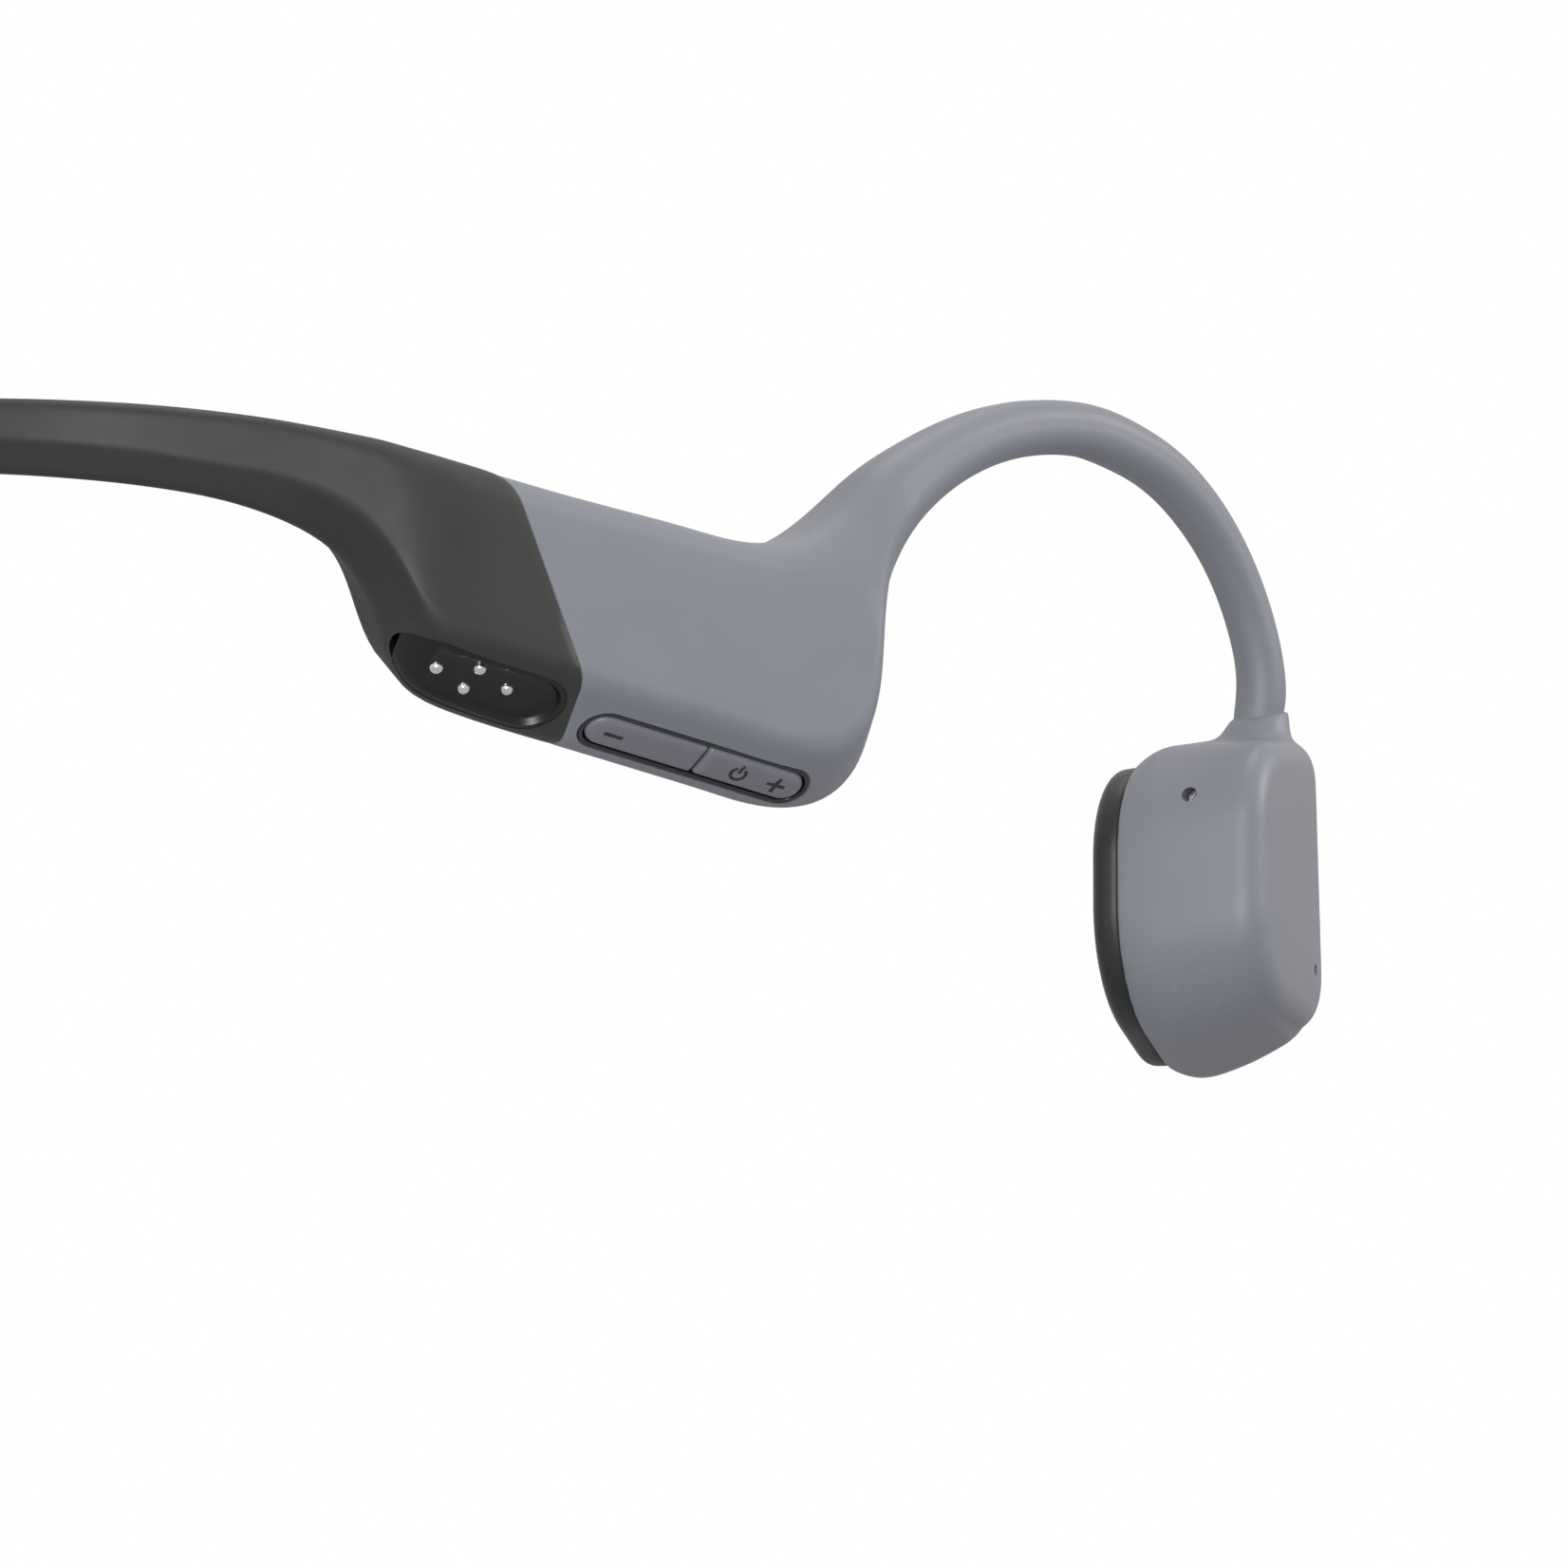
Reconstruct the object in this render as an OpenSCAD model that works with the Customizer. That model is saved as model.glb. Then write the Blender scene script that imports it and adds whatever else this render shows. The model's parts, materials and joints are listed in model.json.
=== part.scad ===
// Bone conduction headphones: a flexible neckband, a control pod and an ear hook on each side,
// and a transducer that rests in front of each ear. +X is the wearer's right, +Y is forward, +Z is up.
// All lengths are in millimetres.

/* [Neckband] */
// Radius of the neckband's curve seen from above
band_curve_r = 39.6; // [38:0.1:41]
// Height of the neckband at the back of the neck
band_tall = 5.2; // [4.4:0.1:6]
// Thickness of the silicone sleeve's wall
sleeve_wall = 0.7; // [0.5:0.05:0.75]
// Diameter of the spring wire
wire_d = 1.2; // [0.8:0.1:1.3]
// Diameter of the inner cable
cable_d = 0.9; // [0.6:0.1:1.0]

/* [Pods] */
// Half thickness of a pod towards the outside
pod_out = 5.5; // [5.2:0.1:6]
// Half thickness of a pod towards the neck
pod_in = 5.0; // [4.8:0.1:5.4]
// Thickness of the silicone skin
skin_t = 0.9; // [0.7:0.05:1.0]
// Wall thickness of the hard shell under the skin
shell_t = 1.1; // [0.8:0.05:1.2]

/* [Charging port] */
// Length of the port insert
port_len = 14.2; // [13:0.1:15]
// Width of the port insert
port_wid = 4.7; // [4.2:0.1:5.0]
// Depth of the port's recess
port_deep = 0.9; // [0.5:0.05:1.1]
// Diameter of a contact
contact_d = 1.0; // [0.8:0.05:1.2]

/* [Buttons] */
// Length of the bezel around the volume buttons
bezel_len = 18.6; // [17:0.1:19]
// Width of the bezel around the volume buttons
bezel_wid = 3.7; // [3.4:0.1:4]
// Width of the bezel's rim
bezel_rim = 0.4; // [0.3:0.05:0.5]
// Clearance around a button
button_gap = 0.15; // [0.12:0.01:0.2]
// Travel of a button
button_travel = 0.35; // [0.25:0.05:0.4]

/* [Transducers] */
// Depth of the hard shell from its seam to its outer face
shell_deep = 10.6; // [10:0.1:11]
// Thickness of the pad that touches the cheek
pad_t = 2.2; // [2:0.1:2.4]
// Wall thickness of the transducer's shell
cup_wall = 1.1; // [1:0.05:1.2]
// Diameter of the driver's yoke
yoke_d = 11; // [10:0.5:12]
// Diameter of a microphone hole
mic_hole_d = 1.1; // [0.8:0.1:1.3]

/* [Hidden] */
$fn = 48;

// The plan path of each side, measured along it from the middle of the pod: s is negative towards
// the back. In front of bend_s it is straight, and behind it is an arc that ends at the back middle.
pod_mid = [41.5, -13.4];
pod_heading = 65;
bend_s = -13.4;
back_s = bend_s - band_curve_r * pod_heading * PI / 180;
pod_pitch = 9;
pod_z = 24;

function heading(s) = pod_heading - max(bend_s - s, 0) / band_curve_r * 180 / PI;
function ahead(h) = [cos(h), sin(h)];
function outward(h) = [sin(h), -cos(h)];
function bend_centre() = pod_mid + bend_s * ahead(pod_heading) - band_curve_r * outward(pod_heading);
function plan(s) = s >= bend_s ? pod_mid + s * ahead(pod_heading)
    : bend_centre() + band_curve_r * outward(heading(s));

// ---- Sections. A section is a rounded polygon with six corners, drawn in [out, up] from its low
// point: low, ridge, outer top, inner top, inner upper and inner lower. It has 4 points a corner.
arc_points = 4;
function unit(v) = v / norm(v);
function wrap(a) = a > 180 ? a - 360 : a < -180 ? a + 360 : a;
function edge_angle(a, b) = atan2(-(b - a)[0], (b - a)[1]);
// One rounded corner of an outline that is moved inward by w, with count points
function corner(p, q, r, rad, w, count) =
    let (half = acos(unit(p - q) * unit(r - q)) / 2, keep = max(rad - w, 0.2),
         c = q + (w + keep) / sin(half) * unit(unit(p - q) + unit(r - q)),
         a0 = edge_angle(p, q), turn = wrap(edge_angle(q, r) - a0))
    [for (i = [0:count - 1]) let (a = a0 + turn * i / (count - 1)) c + keep * [cos(a), sin(a)]];
function rounded(pts, radii, w, count) = let (n = len(pts))
    [for (i = [0:n - 1])
        each corner(pts[(i + n - 1) % n], pts[i], pts[(i + 1) % n], radii[i], w, count)];

// A station holds where a section stands: [low point, up vector, heading, corners, radii]
function section_corners(tall, out, in, ridge, low) = [
    [low, 0], [out, ridge], [out, tall], [-0.3 * in, tall], [-in, 0.78 * tall], [-in, 0.22 * tall]];
function station(s0, z0, s1, z1, out, in, ridge, low, radii) =
    let (h = heading((s0 + s1) / 2), a = plan(s0), b = plan(s1),
         lo = [a[0], a[1], z0], hi = [b[0], b[1], z1])
    [lo, unit(hi - lo), h, section_corners(norm(hi - lo), out, in, ridge, low), radii];
// A hook section is an oval about the point c; climb is the path's slope, tall lies across the path
function oval(tall, thick) = [
    [0.12 * thick, 0], [0.5 * thick, 0.25 * tall], [0.5 * thick, tall],
    [-0.12 * thick, tall], [-0.5 * thick, 0.75 * tall], [-0.5 * thick, 0.2 * tall]];
function hook_station(c, h, climb, tall, thick) =
    let (f = ahead(h), up = [-sin(climb) * f[0], -sin(climb) * f[1], cos(climb)],
         r = 0.38 * min(tall, thick))
    [c - tall / 2 * up, up, h, oval(tall, thick), [r, r, r, 0.8 * r, r, 0.8 * r]];

function across(p) = [-p[0], p[1], p[2]];
function mirror_station(t) = [across(t[0]), across(t[1]), -t[2], t[3], t[4]];
function place(t, p) = t[0] + p[0] * [sin(t[2]), -cos(t[2]), 0] + p[1] * t[1];
function ring(t, w) = [for (p = rounded(t[3], t[4], w, arc_points)) place(t, p)];

// ---- Solids made from rings of points
// Does the first ring turn clockwise about the direction to the second one?
function turns_back(rings) = let (r = rings[0], n = len(r), c = r[0])
    [for (i = 0, v = [0, 0, 0]; i < n; v = v + cross(r[i] - c, r[(i + 1) % n] - c), i = i + 1) v][n - 1]
        * (rings[1][0] - c) < 0;
function quad(a, b, c, d) = [[a, b, c], [a, c, d]];
function flipped(faces, flip) = flip ? [for (f = faces) [f[2], f[1], f[0]]] : faces;
// Side faces between m rings of n points each
function walls(first, m, n) = [for (j = [0:m - 2]) for (i = [0:n - 1])
    let (a = first + j * n + i, b = first + j * n + (i + 1) % n) each quad(a, a + n, b + n, b)];
function fan(first, n) = [for (i = [1:n - 2]) [first, first + i, first + i + 1]];
// A solid loft, with flat ends
module loft(rings) {
    n = len(rings[0]);
    m = len(rings);
    faces = concat(walls(0, m, n), fan(0, n), flipped(fan((m - 1) * n, n), true));
    polyhedron([for (r = rings) each r], flipped(faces, turns_back(rings)), convexity = 8);
}
// A tube between outer rings and inner rings, with open ends
module tube(outer, inner) {
    n = len(outer[0]);
    m = len(outer);
    k = m * n;
    e = k - n;
    faces = concat(walls(0, m, n), flipped(walls(k, m, n), true),
        [for (i = [0:n - 1]) let (j = (i + 1) % n) each quad(i, j, k + j, k + i)],
        [for (i = [0:n - 1]) let (j = (i + 1) % n) each quad(e + j, e + i, k + e + i, k + e + j)]);
    polyhedron(concat([for (r = outer) each r], [for (r = inner) each r]),
        flipped(faces, turns_back(outer)), convexity = 8);
}
module skin(stations, w0, w1) {
    tube([for (t = stations) ring(t, w0)], [for (t = stations) ring(t, w1)]);
}
// Half of a tube: a trough whose section is a closed chain of some outer and inner points
function chain(r, from, to) = [for (i = [from:to]) r[i % len(r)]];
function backwards(v) = [for (i = [len(v) - 1:-1:0]) v[i]];
module trough(stations, w0, w1, from, to) {
    count = to - from + 1;
    n = 2 * count;
    e = (len(stations) - 1) * n;
    rings = [for (t = stations)
        concat(chain(ring(t, w0), from, to), backwards(chain(ring(t, w1), from, to)))];
    faces = concat(walls(0, len(rings), n),
        [for (i = [0:count - 2]) each quad(i, i + 1, n - 2 - i, n - 1 - i)],
        [for (i = [0:count - 2]) each quad(e + i + 1, e + i, e + n - 1 - i, e + n - 2 - i)]);
    polyhedron([for (r = rings) each r], flipped(faces, turns_back(rings)), convexity = 8);
}
// A round rod along a path of points, n points a ring
function tangent(p, i) = unit(p[min(i + 1, len(p) - 1)] - p[max(i - 1, 0)]);
function rod_ring(p, i, d, n, ref) =
    let (t = tangent(p, i), a = unit(cross(t, ref)), b = cross(a, t))
    [for (k = [0:n - 1]) p[i] + d / 2 * (cos(360 * k / n) * a + sin(360 * k / n) * b)];
module rod(p, d, n = 10, ref = [0, 0, 1]) {
    loft([for (i = [0:len(p) - 1]) rod_ring(p, i, d, n, ref)]);
}

// ---- The shared outline of band, pod and hook: every skin, shell and sleeve is lofted from it
band_radii = [0.8, 1.2, 1.0, 0.7, 0.7, 0.7];
pod_radii = [2.2, 2.4, 2.8, 2.0, 2.4, 2.0];
tail_radii = [1.4, 1.8, 1.8, 1.2, 1.4, 1.2];
band_z = 34.9;
// The neckband from the back middle to the pod: it droops slightly as it nears the pod
function band_at(s, z, grow) = station(s, z - grow * band_tall / 2, s, z + grow * band_tall / 2,
    1.7, 1.5, 0.48 * band_tall, 0.1, band_radii);
half_band = [band_at(back_s, band_z, 1), band_at(-52, band_z, 1), band_at(-46, 34.7, 1.02),
    band_at(-40, 34.3, 1.06), band_at(-34, 33.8, 1.12), band_at(-29, 33.2, 1.2),
    station(-25.5, 29.2, -25.5, 35.9, 2.1, 1.9, 2.9, 0.1, band_radii)];
// The dark rear of the pod, which ends at a slanted seam
rear_pod = [half_band[6],
    station(-22.9, 28.3, -23.4, 35.5, 2.8, 2.5, 2.7, 0, band_radii * 1.3),
    station(-20.3, 26.8, -21.7, 35.2, 3.6, 3.3, 2.7, -0.1, tail_radii),
    station(-18.2, 23.4, -20.1, 34.9, 4.4, 4.1, 2.8, -0.2, tail_radii * 1.15),
    station(-16.9, 19.9, -18.6, 34.6, 4.9, 4.6, 3.1, -0.4, tail_radii * 1.3),
    station(-15.7, 17.7, -17.2, 34.3, 0.95 * pod_out, 0.95 * pod_in, 3.5, -0.5, pod_radii),
    station(-12.8, 17, -15.9, 34, pod_out, pod_in, 3.9, -0.6, pod_radii),
    station(-9.5, 16.3, -14.2, 33.7, pod_out, pod_in, 4.05, -0.6, pod_radii),
    station(-3.5, 15.35, -11.4, 33.2, pod_out, pod_in, 4.4, -0.6, pod_radii)];
// The front of the pod: sections fan round its lower front corner and up into the root of the hook
front_pod = [rear_pod[8],
    station(2.5, 14.4, -6.5, 32.5, pod_out, pod_in, 4.5, -0.6, pod_radii),
    station(9, 13.35, -1.5, 31.9, pod_out, pod_in, 4.7, -0.6, pod_radii),
    station(13.8, 12.6, 3, 31.4, pod_out, pod_in, 4.6, -0.5, pod_radii),
    station(17.3, 13.1, 6.3, 30.9, pod_out, pod_in, 4.1, -0.1, pod_radii),
    station(19.7, 15, 9, 30.7, pod_out, pod_in, 3.6, 0.4, pod_radii),
    station(20.8, 18.1, 11.2, 30.9, pod_out, 0.95 * pod_in, 3.2, 0.8, pod_radii),
    station(21.1, 21.9, 13.4, 31.7, pod_out, 0.85 * pod_in, 2.9, 1.1, pod_radii),
    station(21.2, 25.6, 15.4, 33, 0.98 * pod_out, 0.68 * pod_in, 2.7, 1.4, pod_radii * 0.95),
    station(21.8, 29, 17.2, 34.6, 0.96 * pod_out, 0.42 * pod_in, 2.6, 1.8, pod_radii * 0.85)];
// The hook's centre line: [point, heading, height across the path, thickness]
hook_path = [
    [[52.2, 4.4, 34.3], 67, 6.2, 6.0], [[53.4, 7.8, 37.3], 71, 5.0, 5.2], [[54.7, 12.1, 39.9], 75, 4.4, 4.6],
    [[55.7, 16.3, 41.5], 77, 4.1, 4.3], [[56.6, 20.7, 42.4], 80, 3.9, 4.1], [[57.3, 24.7, 42.7], 82, 3.9, 4],
    [[58, 28.7, 42.2], 83, 3.8, 3.8], [[58.6, 32.5, 41.3], 84, 3.6, 3.6], [[59, 36.1, 39.7], 84, 3.5, 3.5],
    [[59.3, 39.3, 37.5], 85, 3.4, 3.3], [[59.5, 41.9, 34.9], 85, 3.3, 3.2], [[59.6, 43.9, 32], 85, 3.3, 3.2],
    [[59.7, 45.1, 29], 85, 3.3, 3.2], [[59.6, 45.5, 27.3], 85, 3.35, 3.3],
    [[59.3, 45.6, 25.8], 85, 3.8, 3.7]];
function climb_at(i) = let (t = tangent([for (r = hook_path) r[0]], i))
    atan2(t[2], norm([t[0], t[1]]));
hook = [for (i = [0:len(hook_path) - 1]) let (r = hook_path[i])
    hook_station(r[0], r[1], climb_at(i), r[2], r[3])];
root = hook[0];
front_skin_stations = concat(front_pod, [root]);
shell_stations = concat([for (i = [4:8]) rear_pod[i]], [for (i = [1:6]) front_pod[i]]);
full_band = concat([for (t = backwards(half_band)) mirror_station(t)],
    [for (i = [1:6]) half_band[i]]);

// ---- Local frames. Each side's parts are drawn for the right and mirrored for the left.
module on_left() { mirror([1, 0, 0]) children(); }
// Pod frame: x forward, y towards the neck, z up
module in_pod() {
    translate([pod_mid[0], pod_mid[1], pod_z]) rotate([0, pod_pitch, pod_heading]) children();
}
function pod_point(x, out, z) = let (f = x * cos(pod_pitch) + z * sin(pod_pitch),
    p = pod_mid + f * ahead(pod_heading) + out * outward(pod_heading))
    [p[0], p[1], pod_z - x * sin(pod_pitch) + z * cos(pod_pitch)];
// Frame of the pod's slanted lower face: x forward, y up the face, z out of the face
module on_face() { in_pod() translate([0, -2.45, -7.25]) rotate([148.8, 0, 0]) children(); }
// Transducer frame: x outward, y forward, z up
transducer_at = [57, 41.1, 0];
transducer_turn = 12;
module in_transducer() { translate(transducer_at) rotate([0, 0, transducer_turn]) children(); }
function transducer_point(n, t, z) = let (c = cos(transducer_turn), s = sin(transducer_turn))
    transducer_at + [n * c - t * s, n * s + t * c, z];

module pill(length, width, z0, z1) {
    translate([0, 0, z0]) linear_extrude(z1 - z0) union() {
        square([length - width, width], center = true);
        for (side = [-1, 1]) translate([side * (length - width) / 2, 0]) circle(d = width);
    }
}
module bar(x0, x1, y0, y1, z0, z1) { translate([x0, y0, z0]) cube([x1 - x0, y1 - y0, z1 - z0]); }
// Cylinder along +X from x0 to x1
module axle(x0, x1, r) { translate([x0, 0, 0]) rotate([0, 90, 0]) cylinder(h = x1 - x0, r = r); }

// ---- Neckband
fit = 0.05;
function at(s, z, out) = let (p = plan(s) + out * outward(heading(s))) [p[0], p[1], z];
function whole_route(half) = concat([for (p = backwards(half)) across(p)],
    [for (i = [1:len(half) - 1]) half[i]]);
wire_end = [-16, -11.4];
wire_z = 2.8;
wire_route = [at(back_s, 35.7, 0.1), at(-52, 35.7, 0.1), at(-46, 35.5, 0.1), at(-40, 35.1, 0.1),
    at(-34, 34.8, 0.1), at(-29, 34.3, 0.1), at(-25.5, 33.5, 0.1), at(-22, 32.1, 0.1), at(-19.4, 30.6, 0.1),
    pod_point(wire_end[0], 0.1, wire_z), pod_point(wire_end[1], 0.1, wire_z)];
cable_route = [at(back_s, 34.2, -0.2), at(-52, 34.2, -0.2), at(-46, 34, -0.2), at(-40, 33.5, -0.2),
    at(-34, 32.9, -0.2), at(-29, 32.2, -0.2), at(-25.5, 31.4, -0.2), at(-22, 29.9, -0.2),
    at(-19.2, 27.9, -0.2), at(-15.5, 25.6, -0.2), at(-12, 24.6, -0.2)];
module neckband_sleeve() { color("#3b3d38") skin(full_band, 0, sleeve_wall); }
module neckband_wire() { color("#b9bcc2") rod(whole_route(wire_route), wire_d); }
module neckband_cable() { color("#26282b") rod(whole_route(cable_route), cable_d, 8); }
module band_anchor() {
    color("#c0a060") in_pod() translate([0, -0.1, wire_z]) difference() {
        axle(wire_end[0] + 0.4, wire_end[1] - 0.2, 1.5);
        axle(wire_end[0], wire_end[1], wire_d / 2 + fit);
    }
}

// ---- Pod skins and shells
bezel_at = [7.1, -0.5, 0];
port_at = [-10.6, -0.4, 0];
port_tall = 2.6;
module face_openings() {
    on_face() translate(bezel_at) pill(bezel_len, bezel_wid, -4, 2);
    on_face() translate(port_at) pill(port_len - 1.4, port_wid, -4, 3);
}
outer_half = [2, 13];
module rear_skin() { color("#3b3d38") skin(rear_pod, 0, skin_t); }
module front_skin() { color("#85868f") skin(front_skin_stations, 0, skin_t); }
module half_shell(from, to) {
    color("#2b2c2e") trough(shell_stations, skin_t, skin_t + shell_t, from, to);
}
module outer_shell() { half_shell(outer_half[0], outer_half[1]); }
module inner_shell() { half_shell(outer_half[1], 6 * arc_points + outer_half[0]); }
module right_pod_rear_skin() { difference() { rear_skin(); face_openings(); } }
module right_pod_front_skin() { difference() { front_skin(); face_openings(); } }
module right_pod_outer_shell() { difference() { outer_shell(); face_openings(); } }

// ---- Charging port
contact_mid = [-0.6, 0.5];
contact_spots = [[-2.85, 0], [2.85, 0], [0, 1.05], [0, -1.05]];
magnet_x = 4.9;
magnet_d = 1.6;
module in_port() { on_face() translate(port_at) children(); }
module charging_port_insert() {
    color("#101112") difference() {
        intersection() {
            in_port() pill(port_len - 1.4, port_wid, -port_tall, 0);
            loft([for (t = rear_pod) ring(t, 0.1)]);
        }
        in_port() pill(port_len - 2.4, port_wid - 1, -port_deep, 2);
        in_port() for (p = contact_spots) translate([contact_mid[0] + p[0], contact_mid[1] + p[1], -3])
            cylinder(h = 3, d = contact_d);
        in_port() for (side = [-1, 1]) translate([side * magnet_x, 0, -3]) cylinder(h = 1.5, d = magnet_d);
    }
}
module charging_contacts() {
    color("#d9c48a") in_port() for (p = contact_spots)
        translate([contact_mid[0] + p[0], contact_mid[1] + p[1], 0]) rotate_extrude() difference() {
            union() {
                translate([0, -port_tall - 0.6]) square([contact_d / 2, port_tall + 0.6 - port_deep]);
                intersection() {
                    translate([0, -port_deep - 0.15]) circle(r = contact_d / 2);
                    translate([0, -port_deep]) square([1, 1]);
                }
            }
            translate([-2, -6]) square([2, 8]);
        }
}
module charging_magnets() {
    color("#9a9ca0") in_port() for (side = [-1, 1]) translate([side * magnet_x, 0, -2.95])
        cylinder(h = 1.45, d = magnet_d);
}
module charging_board() {
    color("#20503a") in_port() bar(-4.2, 4.2, -1.8, 1.8, -port_tall - 1.1, -port_tall - 0.6);
}

// ---- Circuit boards in the right pod
board_out = 1.6;
module main_circuit_board() {
    color("#1d5a3c") in_pod() bar(-10.5, 8.5, board_out - 0.8, board_out, -2.2, 4.2);
}
module board_chips() {
    color("#222325") in_pod() {
        bar(-8, -3.4, board_out - 1.7, board_out - 0.8, -1, 3.6);
        bar(-1.5, 1.5, board_out - 1.5, board_out - 0.8, -0.5, 2.5);
        bar(3, 5.6, board_out - 1.6, board_out - 0.8, -1.4, 0.6);
    }
}
module wireless_antenna() { color("#c8ccd2") in_pod() bar(-8, 7, -2.5, -2.2, 2.4, 4.7); }

// ---- Volume buttons
bezel_tall = 1.85;
bezel_sink = 0.15;
button_rise = 0.1;
split_x = 0.5;
button_gap_mid = 0.2;
flange_top = -bezel_sink - bezel_tall - 0.05;
flange_t = 0.55;
module in_bezel() { on_face() translate(bezel_at) children(); }
module button_bezel() {
    color("#17181a") in_bezel() difference() {
        pill(bezel_len, bezel_wid, -bezel_sink - bezel_tall, -bezel_sink);
        pill(bezel_len - 2 * bezel_rim, bezel_wid - 2 * bezel_rim, -3, 1);
    }
}
module button_pair() {
    inside = 2 * bezel_rim + 2 * button_gap;
    pill(bezel_len - inside, bezel_wid - inside, flange_top, button_rise);
    pill(bezel_len - 1, bezel_wid - 0.3, flange_top - flange_t, flange_top);
}
module volume_button(x0, x1) {
    color("#7d7e86") in_bezel() intersection() {
        button_pair();
        bar(x0, x1, -5, 5, -5, 5);
    }
}
module volume_down_button() { volume_button(-20, split_x - button_gap_mid / 2); }
module volume_up_button() { volume_button(split_x + button_gap_mid / 2, 20); }
switch_x = [-4.5, 5];
switch_top = flange_top - flange_t - button_travel - 0.08;
module button_board() {
    color("#1d5a3c") in_bezel() bar(-8.2, 8.2, -1.3, 1.5, switch_top - 1.6, switch_top - 1.1);
}
module volume_switches() {
    color("#c9ccd0") in_bezel() for (x = switch_x) translate([x, 0, 0]) {
        bar(-1.5, 1.5, -1.1, 1.3, switch_top - 1.1, switch_top - 0.3);
        translate([0, 0.1, switch_top - 0.3]) cylinder(h = 0.3, d = 1.2);
    }
}

// ---- Ear hooks
hook_wire_d = 0.8;
hook_cable_d = 0.7;
hook_wall = 0.7;
hook_anchor_at = [9.4, -1.4, 1.6];
function hook_route(side, from, to) = concat(from,
    [for (i = [0:len(hook) - 1]) place(hook[i], [side, hook_path[i][2] / 2])], to);
hook_wire_route = hook_route(-0.42,
    [pod_point(9.9, 1.4, 2.1), pod_point(12.9, 1.4, 5.1), pod_point(16.2, 1.6, 9.3)],
    [transducer_point(2.7, 4, 22.4), transducer_point(2.6, 3.9, 19.6)]);
hook_cable_route = hook_route(0.4,
    [pod_point(9.4, 2.4, -2.5), pod_point(12, 2.8, 1), pod_point(14.8, 2.9, 5.4),
        pod_point(17.2, 2.7, 10)],
    [transducer_point(3.5, 4, 22.4), transducer_point(3.4, 3.9, 20.8)]);
module hook_sleeve() { color("#85868f") skin(hook, 0, hook_wall); }
module hook_wire() { color("#b9bcc2") rod(hook_wire_route, hook_wire_d, 8, [1, 0, 0]); }
module hook_cable() { color("#26282b") rod(hook_cable_route, hook_cable_d, 8, [1, 0, 0]); }
module hook_anchor() {
    color("#c0a060") in_pod() translate(hook_anchor_at) rotate([0, -45, 0]) difference() {
        axle(0.2, 4.4, 1.3);
        axle(-1, 6, hook_wire_d / 2 + fit);
    }
}

// ---- Transducers, drawn in the transducer frame. Outlines are [forward, up].
rim_points = 7;
seam_x = -3.5;
seam_outline = [[-8.6, 4.2], [9.5, -1.4], [7, 23.5], [-8.6, 20.2]];
seam_radii = [9, 5.4, 3.2, 7.4];
belly_outline = [[-8.6, 3.6], [9.7, -2.1], [7, 24.8], [-8.6, 21.4]];
belly_radii = [8.6, 5.2, 2.6, 7.9];
rim_outline = [[-8.2, 4], [8.3, 2.7], [6.6, 24.3], [-8.2, 21.7]];
rim_radii = [7, 4.2, 2.8, 6.4];
function level(x, pts, radii, w) = [for (p = rounded(pts, radii, w, rim_points)) [x, p[0], p[1]]];
function between(a, b, f) = a + (b - a) * f;
function cup_level(f, x, w) =
    f < 0 ? level(x, between(belly_outline, seam_outline, -f), between(belly_radii, seam_radii, -f), w)
    : level(x, between(belly_outline, rim_outline, f), between(belly_radii, rim_radii, f), w);
face_x = seam_x + shell_deep;
cup_levels = [cup_level(-1, seam_x, 0), cup_level(-0.35, seam_x + 1, 0), cup_level(0, seam_x + 2.2, 0),
    cup_level(0.1, seam_x + 3.8, 0), cup_level(0.36, seam_x + 6, 0), cup_level(0.7, seam_x + 8.2, 0),
    cup_level(0.92, face_x - 1.2, 0), cup_level(1, face_x - 0.5, 0.3), cup_level(1, face_x - 0.12, 1),
    cup_level(1, face_x, 2.2)];
cavity_levels = [cup_level(-1, seam_x - 1, cup_wall), cup_level(-1, seam_x, cup_wall),
    cup_level(-0.35, seam_x + 1, cup_wall), cup_level(0, seam_x + 2.2, cup_wall),
    cup_level(0.36, seam_x + 6, cup_wall), cup_level(0.75, face_x - 1.8, cup_wall),
    cup_level(1, face_x - cup_wall, cup_wall + 0.7)];
neck = [hook[14], hook_station([59.1, 45.4, 24.7], 85, -84, 4.6, 4.4),
    hook_station([58.9, 45.2, 23.2], 85, -86, 5, 5)];
module cup(with_neck = true) {
    difference() {
        union() {
            in_transducer() loft(cup_levels);
            if (with_neck) loft([for (t = neck) ring(t, 0)]);
        }
        in_transducer() loft(cavity_levels);
        in_transducer() translate([3.1, 4, 20]) cylinder(h = 8, d = 2.4);
    }
}
rear_mic = [1.7, 18.2];
front_mic = [4.6, 7.4];
module right_transducer_shell() {
    color("#85868f") difference() {
        cup();
        in_transducer() translate([rear_mic[0], -10, rear_mic[1]]) rotate([-90, 0, 0])
            cylinder(h = 4, d = mic_hole_d);
        in_transducer() translate([5, front_mic[0], front_mic[1]]) rotate([0, 90, 0])
            cylinder(h = 4, d = 0.8);
    }
}
pad_levels = [cup_level(-1, seam_x, 0.25), cup_level(-1, seam_x - pad_t + 0.9, 0.25),
    cup_level(-1, seam_x - pad_t + 0.3, 1), cup_level(-1, seam_x - pad_t, 2)];
module transducer_pad() { color("#2a2c2d") in_transducer() loft(pad_levels); }

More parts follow.
